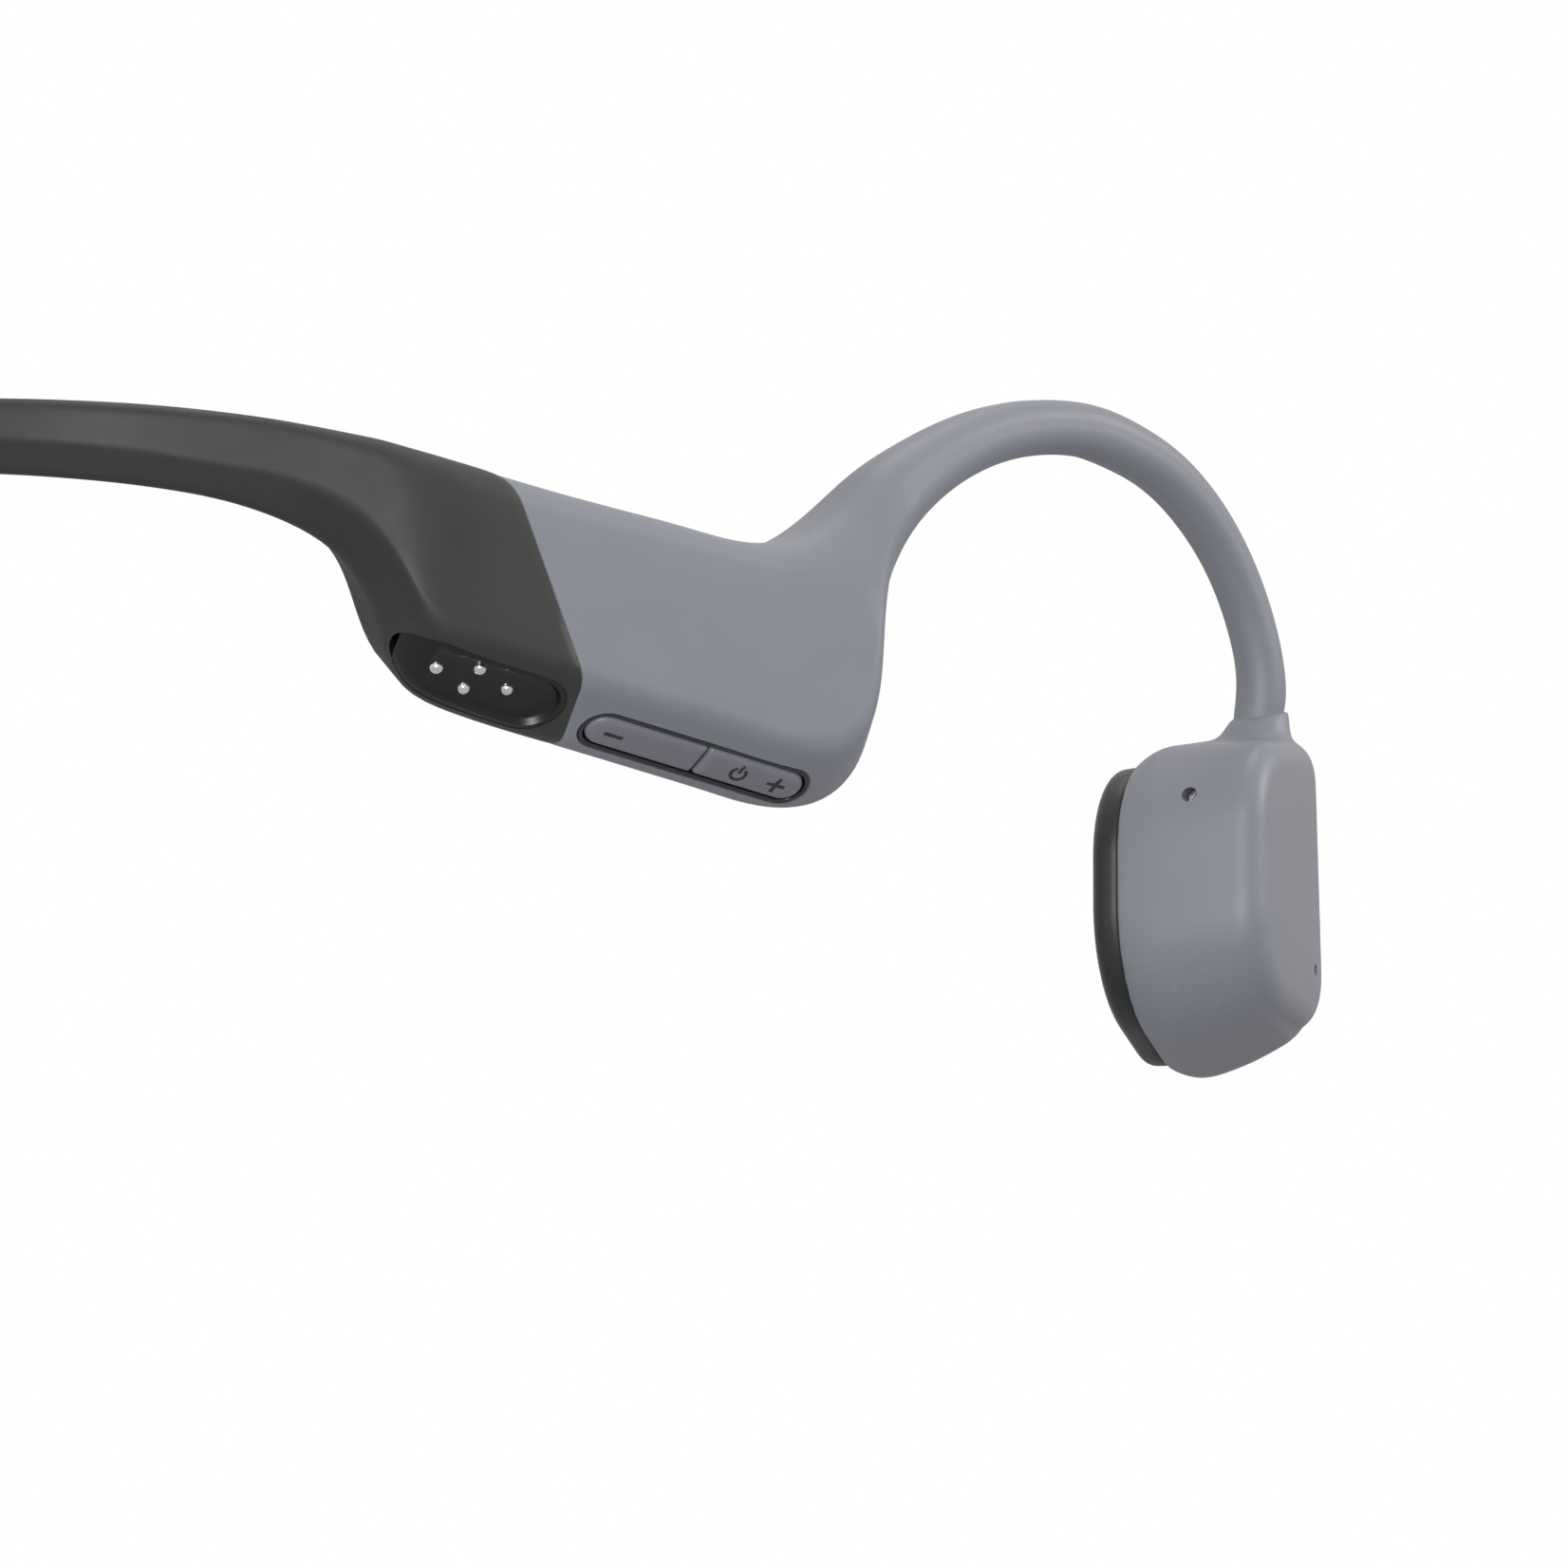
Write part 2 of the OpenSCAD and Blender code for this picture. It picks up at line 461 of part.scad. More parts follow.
// The driver hangs in the cup on a spring ring: its yoke and magnet shake against the fixed coil
driver_at = [-0.4, 12.4];
module in_driver() { in_transducer() translate([0, driver_at[0], driver_at[1]]) children(); }
module washer(x0, x1, r0, r1) {
    difference() {
        axle(x0, x1, r1);
        axle(x0 - 1, x1 + 1, r0);
    }
}
plate_x = [-3.4, -2.3];
spring_x = [-1.2, -1.05];
yoke_r = yoke_d / 2;
module vibration_plate() {
    color("#6d7075") in_transducer() loft([for (x = plate_x) cup_level(-1, x, 1.7)]);
}
module driver_bracket() {
    color("#3a3b3d") in_driver() washer(plate_x[1], spring_x[0], yoke_r + 0.15, yoke_r + 1);
}
module driver_spring() {
    color("#b08d4a") in_driver() washer(spring_x[0], spring_x[1], yoke_r - 0.75, yoke_r + 1);
}
module driver_yoke() {
    color("#9b9ea3") in_driver() {
        washer(spring_x[1], 2, yoke_r - 0.8, yoke_r);
        axle(2, 2.8, yoke_r);
    }
}
module driver_magnet() { color("#54575c") in_driver() axle(-0.8, 2, 3); }
module voice_coil() { color("#b8642e") in_driver() washer(plate_x[1], 0, 3.4, 4.1); }

// ---- Microphones in the right transducer
module microphones() {
    color("#c5b27a") in_transducer() {
        bar(rear_mic[0] - 1.2, rear_mic[0] + 1, -5.85, -5.15, rear_mic[1] - 1.1, rear_mic[1] + 0.5);
        bar(4.9, 5.7, front_mic[0] - 1.2, front_mic[0] + 0.6, front_mic[1] - 1, front_mic[1] + 1);
    }
}
module microphone_board() {
    color("#1d5a3c") in_transducer() {
        bar(rear_mic[0] - 1.4, rear_mic[0] + 1.2, -5.15, -4.85, rear_mic[1] - 1.4, rear_mic[1] + 0.7);
        bar(4.6, 4.9, front_mic[0] - 1.4, front_mic[0] + 0.7, front_mic[1] - 1.1, front_mic[1] + 1.1);
    }
}
module microphone_meshes() {
    color("#8b8d90") in_transducer() {
        translate([rear_mic[0], -6, rear_mic[1]]) rotate([-90, 0, 0])
            cylinder(h = 0.15, d = 1.3);
        translate([5.75, front_mic[0], front_mic[1]]) rotate([0, 90, 0]) cylinder(h = 0.15, d = 1.4);
    }
}

// ---- Left pod and left transducer
module battery_cell() { color("#3f5f8f") on_left() in_pod() bar(-10.2, 8.6, -2, 2.3, -4.5, 3.3); }
module battery_board() { color("#1d5a3c") on_left() in_pod() bar(9.4, 13, 0.8, 1.5, -3.6, 1.6); }
module battery_foam() { color("#4a4a4a") on_left() in_pod() bar(-8.5, 7, -3.1, -2, -3.4, 2.8); }
multi_at = [-0.4, 13.2];
multi_len = 8.4;
multi_wid = 4.6;
module in_multi() { in_transducer() translate([0, multi_at[0], multi_at[1]]) rotate([0, 90, 0]) children(); }
module left_shell() {
    color("#85868f") difference() {
        cup();
        in_multi() pill(multi_len, multi_wid, 3, 8);
    }
}
multi_flange = face_x - cup_wall - 0.1;
module multi_button() {
    gap = 2 * button_gap;
    color("#7d7e86") in_multi() {
        pill(multi_len - gap, multi_wid - gap, multi_flange, face_x + 0.15);
        pill(multi_len + 1, multi_wid + 1, multi_flange - 0.5, multi_flange);
    }
}
module multi_switch() {
    top = multi_flange - 0.5 - button_travel - 0.08;
    color("#c9ccd0") in_multi() translate([0, 0, 3]) cylinder(h = top - 3, r = 1.9);
}

// ---- The sub-parts by name
module right_band_anchor() { band_anchor(); }
module right_hook_anchor() { hook_anchor(); }
module right_hook_sleeve() { hook_sleeve(); }
module right_hook_wire() { hook_wire(); }
module right_hook_cable() { hook_cable(); }
module right_transducer_pad() { transducer_pad(); }
module right_vibration_plate() { vibration_plate(); }
module right_driver_spring() { driver_spring(); }
module right_driver_yoke() { driver_yoke(); }
module right_driver_magnet() { driver_magnet(); }
module right_voice_coil() { voice_coil(); }
module right_driver_bracket() { driver_bracket(); }
module right_pod_inner_shell() { difference() { inner_shell(); face_openings(); } }
module left_band_anchor() { on_left() band_anchor(); }
module left_hook_anchor() { on_left() hook_anchor(); }
module left_hook_sleeve() { on_left() hook_sleeve(); }
module left_hook_wire() { on_left() hook_wire(); }
module left_hook_cable() { on_left() hook_cable(); }
module left_transducer_pad() { on_left() transducer_pad(); }
module left_vibration_plate() { on_left() vibration_plate(); }
module left_driver_spring() { on_left() driver_spring(); }
module left_driver_yoke() { on_left() driver_yoke(); }
module left_driver_magnet() { on_left() driver_magnet(); }
module left_voice_coil() { on_left() voice_coil(); }
module left_driver_bracket() { on_left() driver_bracket(); }
module left_pod_rear_skin() { on_left() rear_skin(); }
module left_pod_front_skin() { on_left() front_skin(); }
module left_pod_outer_shell() { on_left() outer_shell(); }
module left_pod_inner_shell() { on_left() inner_shell(); }
module left_transducer_shell() { on_left() left_shell(); }
module multifunction_button() { on_left() multi_button(); }
module multifunction_switch() { on_left() multi_switch(); }

neckband_sleeve();
neckband_wire();
neckband_cable();
right_pod_rear_skin();
right_pod_front_skin();
right_pod_outer_shell();
right_pod_inner_shell();
right_band_anchor();
right_hook_anchor();
right_hook_sleeve();
right_hook_wire();
right_hook_cable();
charging_port_insert();
charging_contacts();
charging_magnets();
charging_board();
main_circuit_board();
board_chips();
wireless_antenna();
button_bezel();
volume_down_button();
volume_up_button();
button_board();
volume_switches();
right_transducer_shell();
right_transducer_pad();
right_vibration_plate();
right_driver_spring();
right_driver_yoke();
right_driver_magnet();
right_voice_coil();
right_driver_bracket();
microphone_board();
microphones();
microphone_meshes();
left_pod_rear_skin();
left_pod_front_skin();
left_pod_outer_shell();
left_pod_inner_shell();
left_band_anchor();
left_hook_anchor();
left_hook_sleeve();
left_hook_wire();
left_hook_cable();
battery_cell();
battery_board();
battery_foam();
left_transducer_shell();
left_transducer_pad();
left_vibration_plate();
left_driver_spring();
left_driver_yoke();
left_driver_magnet();
left_voice_coil();
left_driver_bracket();
multifunction_button();
multifunction_switch();
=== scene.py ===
"""Bone conduction headphones: the looks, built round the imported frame.

The first part repeats the section functions of part.scad in numpy, so the smooth skins here follow the
solids. Then come mesh and material helpers, and each visible piece with the solid nodes that it replaces.
Lengths are in millimetres in the tables and in metres in the scene. A station is one section of a skin, set
across the route round the neck and forward along the pod. s is the distance along that route.
"""
import json
import math

import bpy
import numpy as np
from mathutils import Matrix, Vector


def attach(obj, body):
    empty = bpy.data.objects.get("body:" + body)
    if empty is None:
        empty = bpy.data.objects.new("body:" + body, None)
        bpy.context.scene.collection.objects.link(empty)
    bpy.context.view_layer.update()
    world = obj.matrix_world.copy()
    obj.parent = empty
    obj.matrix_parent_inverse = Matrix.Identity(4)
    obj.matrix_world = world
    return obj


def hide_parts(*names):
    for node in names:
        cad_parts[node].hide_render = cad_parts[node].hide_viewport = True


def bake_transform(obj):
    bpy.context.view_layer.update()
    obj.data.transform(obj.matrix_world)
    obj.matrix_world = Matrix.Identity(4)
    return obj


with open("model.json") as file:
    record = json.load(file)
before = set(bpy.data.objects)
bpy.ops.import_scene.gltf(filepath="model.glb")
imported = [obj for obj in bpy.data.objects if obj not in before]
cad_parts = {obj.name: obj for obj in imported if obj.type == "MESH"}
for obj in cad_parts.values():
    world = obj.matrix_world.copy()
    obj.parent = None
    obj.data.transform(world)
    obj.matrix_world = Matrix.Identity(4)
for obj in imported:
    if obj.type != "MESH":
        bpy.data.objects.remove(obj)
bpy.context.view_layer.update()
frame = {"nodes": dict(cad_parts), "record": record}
MM = 0.001

# ------------------------------------------------------------------ the outline, as part.scad draws it
BAND_R, BAND_TALL, BAND_Z = 39.6, 5.2, 34.9
POD_OUT, POD_IN = 5.5, 5.0
SKIN_T, SLEEVE_T, HOOK_T = 0.9, 0.7, 0.7
POD_MID, HEADING, BEND_S = np.array([41.5, -13.4]), 65.0, -13.4
BACK_S = BEND_S - BAND_R * math.radians(HEADING)
TRANSDUCER_AT, TRANSDUCER_TURN = (57.0, 41.1, 0.0), 12.0


def unit(v):
    return v / np.linalg.norm(v)


def heading(s):
    return HEADING - math.degrees(max(BEND_S - s, 0) / BAND_R)


def ahead(h):
    return np.array([math.cos(math.radians(h)), math.sin(math.radians(h))])


def outward(h):
    return np.array([math.sin(math.radians(h)), -math.cos(math.radians(h))])


def plan(s):
    if s >= BEND_S:
        return POD_MID + s * ahead(HEADING)
    centre = POD_MID + BEND_S * ahead(HEADING) - BAND_R * outward(HEADING)
    return centre + BAND_R * outward(heading(s))


def pack_station(low, up, h, corners, radii, wall):
    return np.concatenate([low, up, [h], np.array(corners, float).ravel(), radii, [wall]])


def station(s0, z0, s1, z1, out, inn, ridge, low, radii, wall=SKIN_T):
    a, b = np.append(plan(s0), z0), np.append(plan(s1), z1)
    tall = np.linalg.norm(b - a)
    corners = [(low, 0), (out, ridge), (out, tall), (-0.3 * inn, tall), (-inn, 0.78 * tall),
               (-inn, 0.22 * tall)]
    return pack_station(a, unit(b - a), heading((s0 + s1) / 2), corners, radii, wall)


def hook_station(c, h, climb, tall, thick):
    f, k = ahead(h), math.radians(climb)
    up = np.array([-math.sin(k) * f[0], -math.sin(k) * f[1], math.cos(k)])
    r = 0.38 * min(tall, thick)
    corners = [(0.12 * thick, 0), (0.5 * thick, 0.25 * tall), (0.5 * thick, tall), (-0.12 * thick, tall),
               (-0.5 * thick, 0.75 * tall), (-0.5 * thick, 0.2 * tall)]
    return pack_station(np.array(c) - tall / 2 * up, up, h, corners, [r, r, r, 0.8 * r, r, 0.8 * r], HOOK_T)


band_radii = np.array([0.8, 1.2, 1.0, 0.7, 0.7, 0.7])
pod_radii = np.array([2.2, 2.4, 2.8, 2.0, 2.4, 2.0])
tail_radii = np.array([1.4, 1.8, 1.8, 1.2, 1.4, 1.2])


def band_at(s, z, grow):
    half = grow * BAND_TALL / 2
    return station(s, z - half, s, z + half, 1.7, 1.5, 0.48 * BAND_TALL, 0.1, band_radii, SLEEVE_T)


half_band = [band_at(BACK_S, BAND_Z, 1), band_at(-52, BAND_Z, 1), band_at(-46, 34.7, 1.02),
             band_at(-40, 34.3, 1.06),
             band_at(-34, 33.8, 1.12), band_at(-29, 33.2, 1.2),
             station(-25.5, 29.2, -25.5, 35.9, 2.1, 1.9, 2.9, 0.1, band_radii, SLEEVE_T)]
rear_pod = [half_band[6],
            station(-22.9, 28.3, -23.4, 35.5, 2.8, 2.5, 2.7, 0, band_radii * 1.3),
            station(-20.3, 26.8, -21.7, 35.2, 3.6, 3.3, 2.7, -0.1, tail_radii),
            station(-18.2, 23.4, -20.1, 34.9, 4.4, 4.1, 2.8, -0.2, tail_radii * 1.15),
            station(-16.9, 19.9, -18.6, 34.6, 4.9, 4.6, 3.1, -0.4, tail_radii * 1.3),
            station(-15.7, 17.7, -17.2, 34.3, 0.95 * POD_OUT, 0.95 * POD_IN, 3.5, -0.5, pod_radii),
            station(-12.8, 17, -15.9, 34, POD_OUT, POD_IN, 3.9, -0.6, pod_radii),
            station(-9.5, 16.3, -14.2, 33.7, POD_OUT, POD_IN, 4.05, -0.6, pod_radii),
            station(-3.5, 15.35, -11.4, 33.2, POD_OUT, POD_IN, 4.4, -0.6, pod_radii)]
front_pod = [rear_pod[8],
             station(2.5, 14.4, -6.5, 32.5, POD_OUT, POD_IN, 4.5, -0.6, pod_radii),
             station(9, 13.35, -1.5, 31.9, POD_OUT, POD_IN, 4.7, -0.6, pod_radii),
             station(13.8, 12.6, 3, 31.4, POD_OUT, POD_IN, 4.6, -0.5, pod_radii),
             station(17.3, 13.1, 6.3, 30.9, POD_OUT, POD_IN, 4.1, -0.1, pod_radii),
             station(19.7, 15, 9, 30.7, POD_OUT, POD_IN, 3.6, 0.4, pod_radii),
             station(20.8, 18.1, 11.2, 30.9, POD_OUT, 0.95 * POD_IN, 3.2, 0.8, pod_radii),
             station(21.1, 21.9, 13.4, 31.7, POD_OUT, 0.85 * POD_IN, 2.9, 1.1, pod_radii),
             station(21.2, 25.6, 15.4, 33, 0.98 * POD_OUT, 0.68 * POD_IN, 2.7, 1.4, pod_radii * 0.95),
             station(21.8, 29, 17.2, 34.6, 0.96 * POD_OUT, 0.42 * POD_IN, 2.6, 1.8, pod_radii * 0.85)]
hook_path = [((52.2, 4.4, 34.3), 67, 6.2, 6.0), ((53.4, 7.8, 37.3), 71, 5.0, 5.2),
             ((54.7, 12.1, 39.9), 75, 4.4, 4.6),
             ((55.7, 16.3, 41.5), 77, 4.1, 4.3), ((56.6, 20.7, 42.4), 80, 3.9, 4.1),
             ((57.3, 24.7, 42.7), 82, 3.9, 4),
             ((58, 28.7, 42.2), 83, 3.8, 3.8), ((58.6, 32.5, 41.3), 84, 3.6, 3.6),
             ((59, 36.1, 39.7), 84, 3.5, 3.5),
             ((59.3, 39.3, 37.5), 85, 3.4, 3.3), ((59.5, 41.9, 34.9), 85, 3.3, 3.2),
             ((59.6, 43.9, 32), 85, 3.3, 3.2),
             ((59.7, 45.1, 29), 85, 3.3, 3.2), ((59.6, 45.5, 27.3), 85, 3.35, 3.3),
             ((59.3, 45.6, 25.8), 85, 3.8, 3.7)]


def tangent(p, i):
    return unit(np.array(p[min(i + 1, len(p) - 1)], float) - np.array(p[max(i - 1, 0)], float))


def climb_at(i):
    t = tangent([r[0] for r in hook_path], i)
    return math.degrees(math.atan2(t[2], math.hypot(t[0], t[1])))


hook = [hook_station(r[0], r[1], climb_at(i), r[2], r[3]) for i, r in enumerate(hook_path)]
neck = [hook_station((59.1, 45.4, 24.7), 85, -84, 4.6, 4.4), hook_station((58.9, 45.2, 23.2), 85, -86, 5, 5)]

CORNER_N, FLAT_N = 8, 4


def ring(t, w):
    """Points round one station's section, moved inward by w, in millimetres."""
    low, up, h = t[0:3], unit(t[3:6]), t[6]
    corners, radii = t[7:19].reshape(6, 2), t[19:25]
    arcs = []
    for i in range(6):
        p, q, r = corners[i - 1], corners[i], corners[(i + 1) % 6]
        a, b = unit(p - q), unit(r - q)
        half = math.acos(max(-1, min(1, float(a @ b)))) / 2
        keep = max(radii[i] - w, 0.2)
        c = q + (w + keep) / math.sin(half) * unit(a + b)
        a0 = math.atan2(-(q - p)[0], (q - p)[1])
        turn = math.atan2(-(r - q)[0], (r - q)[1]) - a0
        turn = (turn + math.pi) % (2 * math.pi) - math.pi
        steps = a0 + turn * np.linspace(0, 1, CORNER_N)
        arcs.append(c + keep * np.stack([np.cos(steps), np.sin(steps)], 1))
    flat = []
    for i in range(6):
        a, b = arcs[i][-1], arcs[(i + 1) % 6][0]
        flat.append(arcs[i])
        flat.append(a + (b - a) * np.linspace(0, 1, FLAT_N + 2)[1:-1, None])
    p = np.concatenate(flat)
    out = np.append(outward(h), 0)
    return low + p[:, :1] * out + p[:, 1:] * up


def even_out(rows, times):
    """Averages each row with its neighbours, so that the curve has no kinks; the ends stay."""
    rows = rows.copy()
    for _ in range(times):
        rows[1:-1] = (rows[:-2] + 2 * rows[1:-1] + rows[2:]) / 4
    return list(rows)


def resample(rows, step, smooth=0):
    """Rows of numbers run through a smooth curve, about step millimetres apart along their first three."""
    rows = np.array(rows, float)
    gap = np.linalg.norm(np.diff(rows[:, :3], axis=0), axis=1)
    if rows.shape[1] > 19:
        top = rows[:, :3] + rows[:, 3:6] * rows[:, 12:13]
        gap = (gap + np.linalg.norm(np.diff(top, axis=0), axis=1)) / 2
    slope = np.diff(rows, axis=0) / gap[:, None]
    m = np.empty_like(rows)
    m[0], m[-1] = slope[0], slope[-1]
    m[1:-1] = (slope[:-1] * gap[1:, None] + slope[1:] * gap[:-1, None]) / (gap[1:] + gap[:-1])[:, None]
    out = []
    for i in range(len(gap)):
        n = max(1, round(gap[i] / step))
        for u in np.arange(n) / n:
            u2, u3 = u * u, u * u * u
            out.append((2 * u3 - 3 * u2 + 1) * rows[i] + (u3 - 2 * u2 + u) * gap[i] * m[i]
                       + (3 * u2 - 2 * u3) * rows[i + 1] + (u3 - u2) * gap[i] * m[i + 1])
    out.append(rows[-1])
    return even_out(np.array(out), smooth)


# ------------------------------------------------------------------ meshes
def add_mesh(name, verts, faces, smooth=True):
    me = bpy.data.meshes.new(name)
    me.from_pydata([tuple(v) for v in np.array(verts) * MM], [], [tuple(f) for f in faces])
    me.update()
    o = bpy.data.objects.new(name, me)
    bpy.context.scene.collection.objects.link(o)
    bm_fix(me)
    me.polygons.foreach_set("use_smooth", [smooth] * len(me.polygons))
    return o


def bm_fix(me):
    import bmesh
    bm = bmesh.new()
    bm.from_mesh(me)
    bmesh.ops.recalc_face_normals(bm, faces=bm.faces)
    bm.to_mesh(me)
    bm.free()


def side_faces(first, m, n):
    return [(first + j * n + i, first + (j + 1) * n + i, first + (j + 1) * n + (i + 1) % n,
             first + j * n + (i + 1) % n)
            for j in range(m - 1) for i in range(n)]


def loft(name, rings, smooth=True):
    """A solid through rings of points, with closed ends."""
    m, n = len(rings), len(rings[0])
    faces = side_faces(0, m, n) + [tuple(range(n)), tuple(range((m - 1) * n, m * n))]
    return add_mesh(name, np.concatenate(rings), faces, smooth)


def tube(name, outer, inner):
    m, n = len(outer), len(outer[0])
    k, e = m * n, (m - 1) * n
    faces = side_faces(0, m, n) + side_faces(k, m, n)
    for i in range(n):
        j = (i + 1) % n
        faces += [(i, j, k + j, k + i), (e + i, e + j, k + e + j, k + e + i)]
    return add_mesh(name, np.concatenate(outer + inner), faces)


def skin(name, rows, step=0.6):
    """A hollow skin along stations, with a small rounded lip at each end."""
    fine = resample(rows, step, 14)
    outer = [ring(t, 0.0) for t in fine]
    inner = [ring(t, t[25]) for t in fine]
    for end, near in ((0, 1), (-1, -2)):
        outer[end] = ring(fine[end], 0.1)
        lip = ring(fine[end], 0.02) * 0.88 + ring(fine[near], 0.0) * 0.12
        if end == 0:
            outer.insert(1, lip)
            inner.insert(1, inner[0] * 0.88 + inner[1] * 0.12)
        else:
            outer.insert(-1, lip)
            inner.insert(-1, inner[-1] * 0.88 + inner[-2] * 0.12)
    return tube(name, outer, inner)


def rod(name, path, d, n=12, step=0.8):
    p = np.array(resample(path, step))
    rings = []
    side = None
    for i in range(len(p)):
        t = tangent(p, i)
        side = np.cross(t, [t[1], -t[0], 0.001]) if side is None else side - t * float(side @ t)
        side = unit(side)
        other = np.cross(side, t)
        k = np.arange(n) * 2 * math.pi / n
        rings.append(p[i] + d / 2 * (np.cos(k)[:, None] * side + np.sin(k)[:, None] * other))
    return loft(name, rings)


def settle(o):
    """Applies the object's modifiers to its mesh."""
    deps = bpy.context.evaluated_depsgraph_get()
    deps.update()
    me = bpy.data.meshes.new_from_object(o.evaluated_get(deps))
    old = o.data
    o.modifiers.clear()
    o.data = me
    bpy.data.meshes.remove(old)
    return o


def drop(o):
    bpy.data.objects.remove(o, do_unlink=True)


def cut(o, tool, how="DIFFERENCE"):
    m = o.modifiers.new("cut", "BOOLEAN")
    m.object, m.operation, m.solver = tool, how, "EXACT"
    settle(o)
    drop(tool)
    return o


def crease(o, degrees=38):
    """Smooth shading with sharp edges kept above this angle."""
    me = o.data
    me.polygons.foreach_set("use_smooth", [True] * len(me.polygons))
    me.set_sharp_from_angle(angle=math.radians(degrees))
    return o


def mirrored(o, name):
    c = o.copy()
    c.data = o.data.copy()
    c.name = c.data.name = name
    bpy.context.scene.collection.objects.link(c)
    c.data.transform(Matrix.Scale(-1, 4, Vector((1, 0, 0))))
    c.data.flip_normals()
    return c


def join(name, objs):
    verts, faces, n = [], [], 0
    for o in objs:
        verts += [np.array(v.co) / MM for v in o.data.vertices]
        faces += [[i + n for i in p.vertices] for p in o.data.polygons]
        n = len(verts)
        drop(o)
    return add_mesh(name, verts, faces)


# Local frames, in millimetres
def rot(axis, degrees):
    return Matrix.Rotation(math.radians(degrees), 4, axis)


IN_POD = Matrix.Translation((41.5, -13.4, 24)) @ rot("Z", HEADING) @ rot("Y", 9)
ON_FACE = IN_POD @ Matrix.Translation((0, -2.45, -7.25)) @ rot("X", 148.8)
IN_BEZEL = ON_FACE @ Matrix.Translation((7.1, -0.5, 0))
PORT_X = -10.6
IN_PORT = ON_FACE @ Matrix.Translation((PORT_X, -0.05, 0))
IN_CUP = Matrix.Translation(TRANSDUCER_AT) @ rot("Z", TRANSDUCER_TURN)


def put(m, pts):
    a = np.array(m)
    return np.array(pts, float) @ a[:3, :3].T + a[:3, 3]


def pod_point(x, out, z):
    return put(IN_POD, [(x, -out, z)])[0]


def cup_point(n, t, z):
    return put(IN_CUP, [(n, t, z)])[0]


def pill(length, width, z, n=24):
    r, k = width / 2, np.linspace(-math.pi / 2, math.pi / 2, n)
    right = np.stack([length / 2 - r + r * np.cos(k), r * np.sin(k)], 1)
    return np.column_stack([np.concatenate([right, -right]), np.full(2 * n, z)])


def pill_loft(name, m, length, width, levels):
    """levels are (inset, z) pairs."""
    return loft(name, [put(m, pill(length - 2 * w, width - 2 * w, z)) for w, z in levels])


# ------------------------------------------------------------------ materials
def node(nt, kind, **values):
    n = nt.nodes.new(kind)
    for k, v in values.items():
        if k in n.inputs:
            n.inputs[k].default_value = v
        else:
            setattr(n, k, v)
    return n


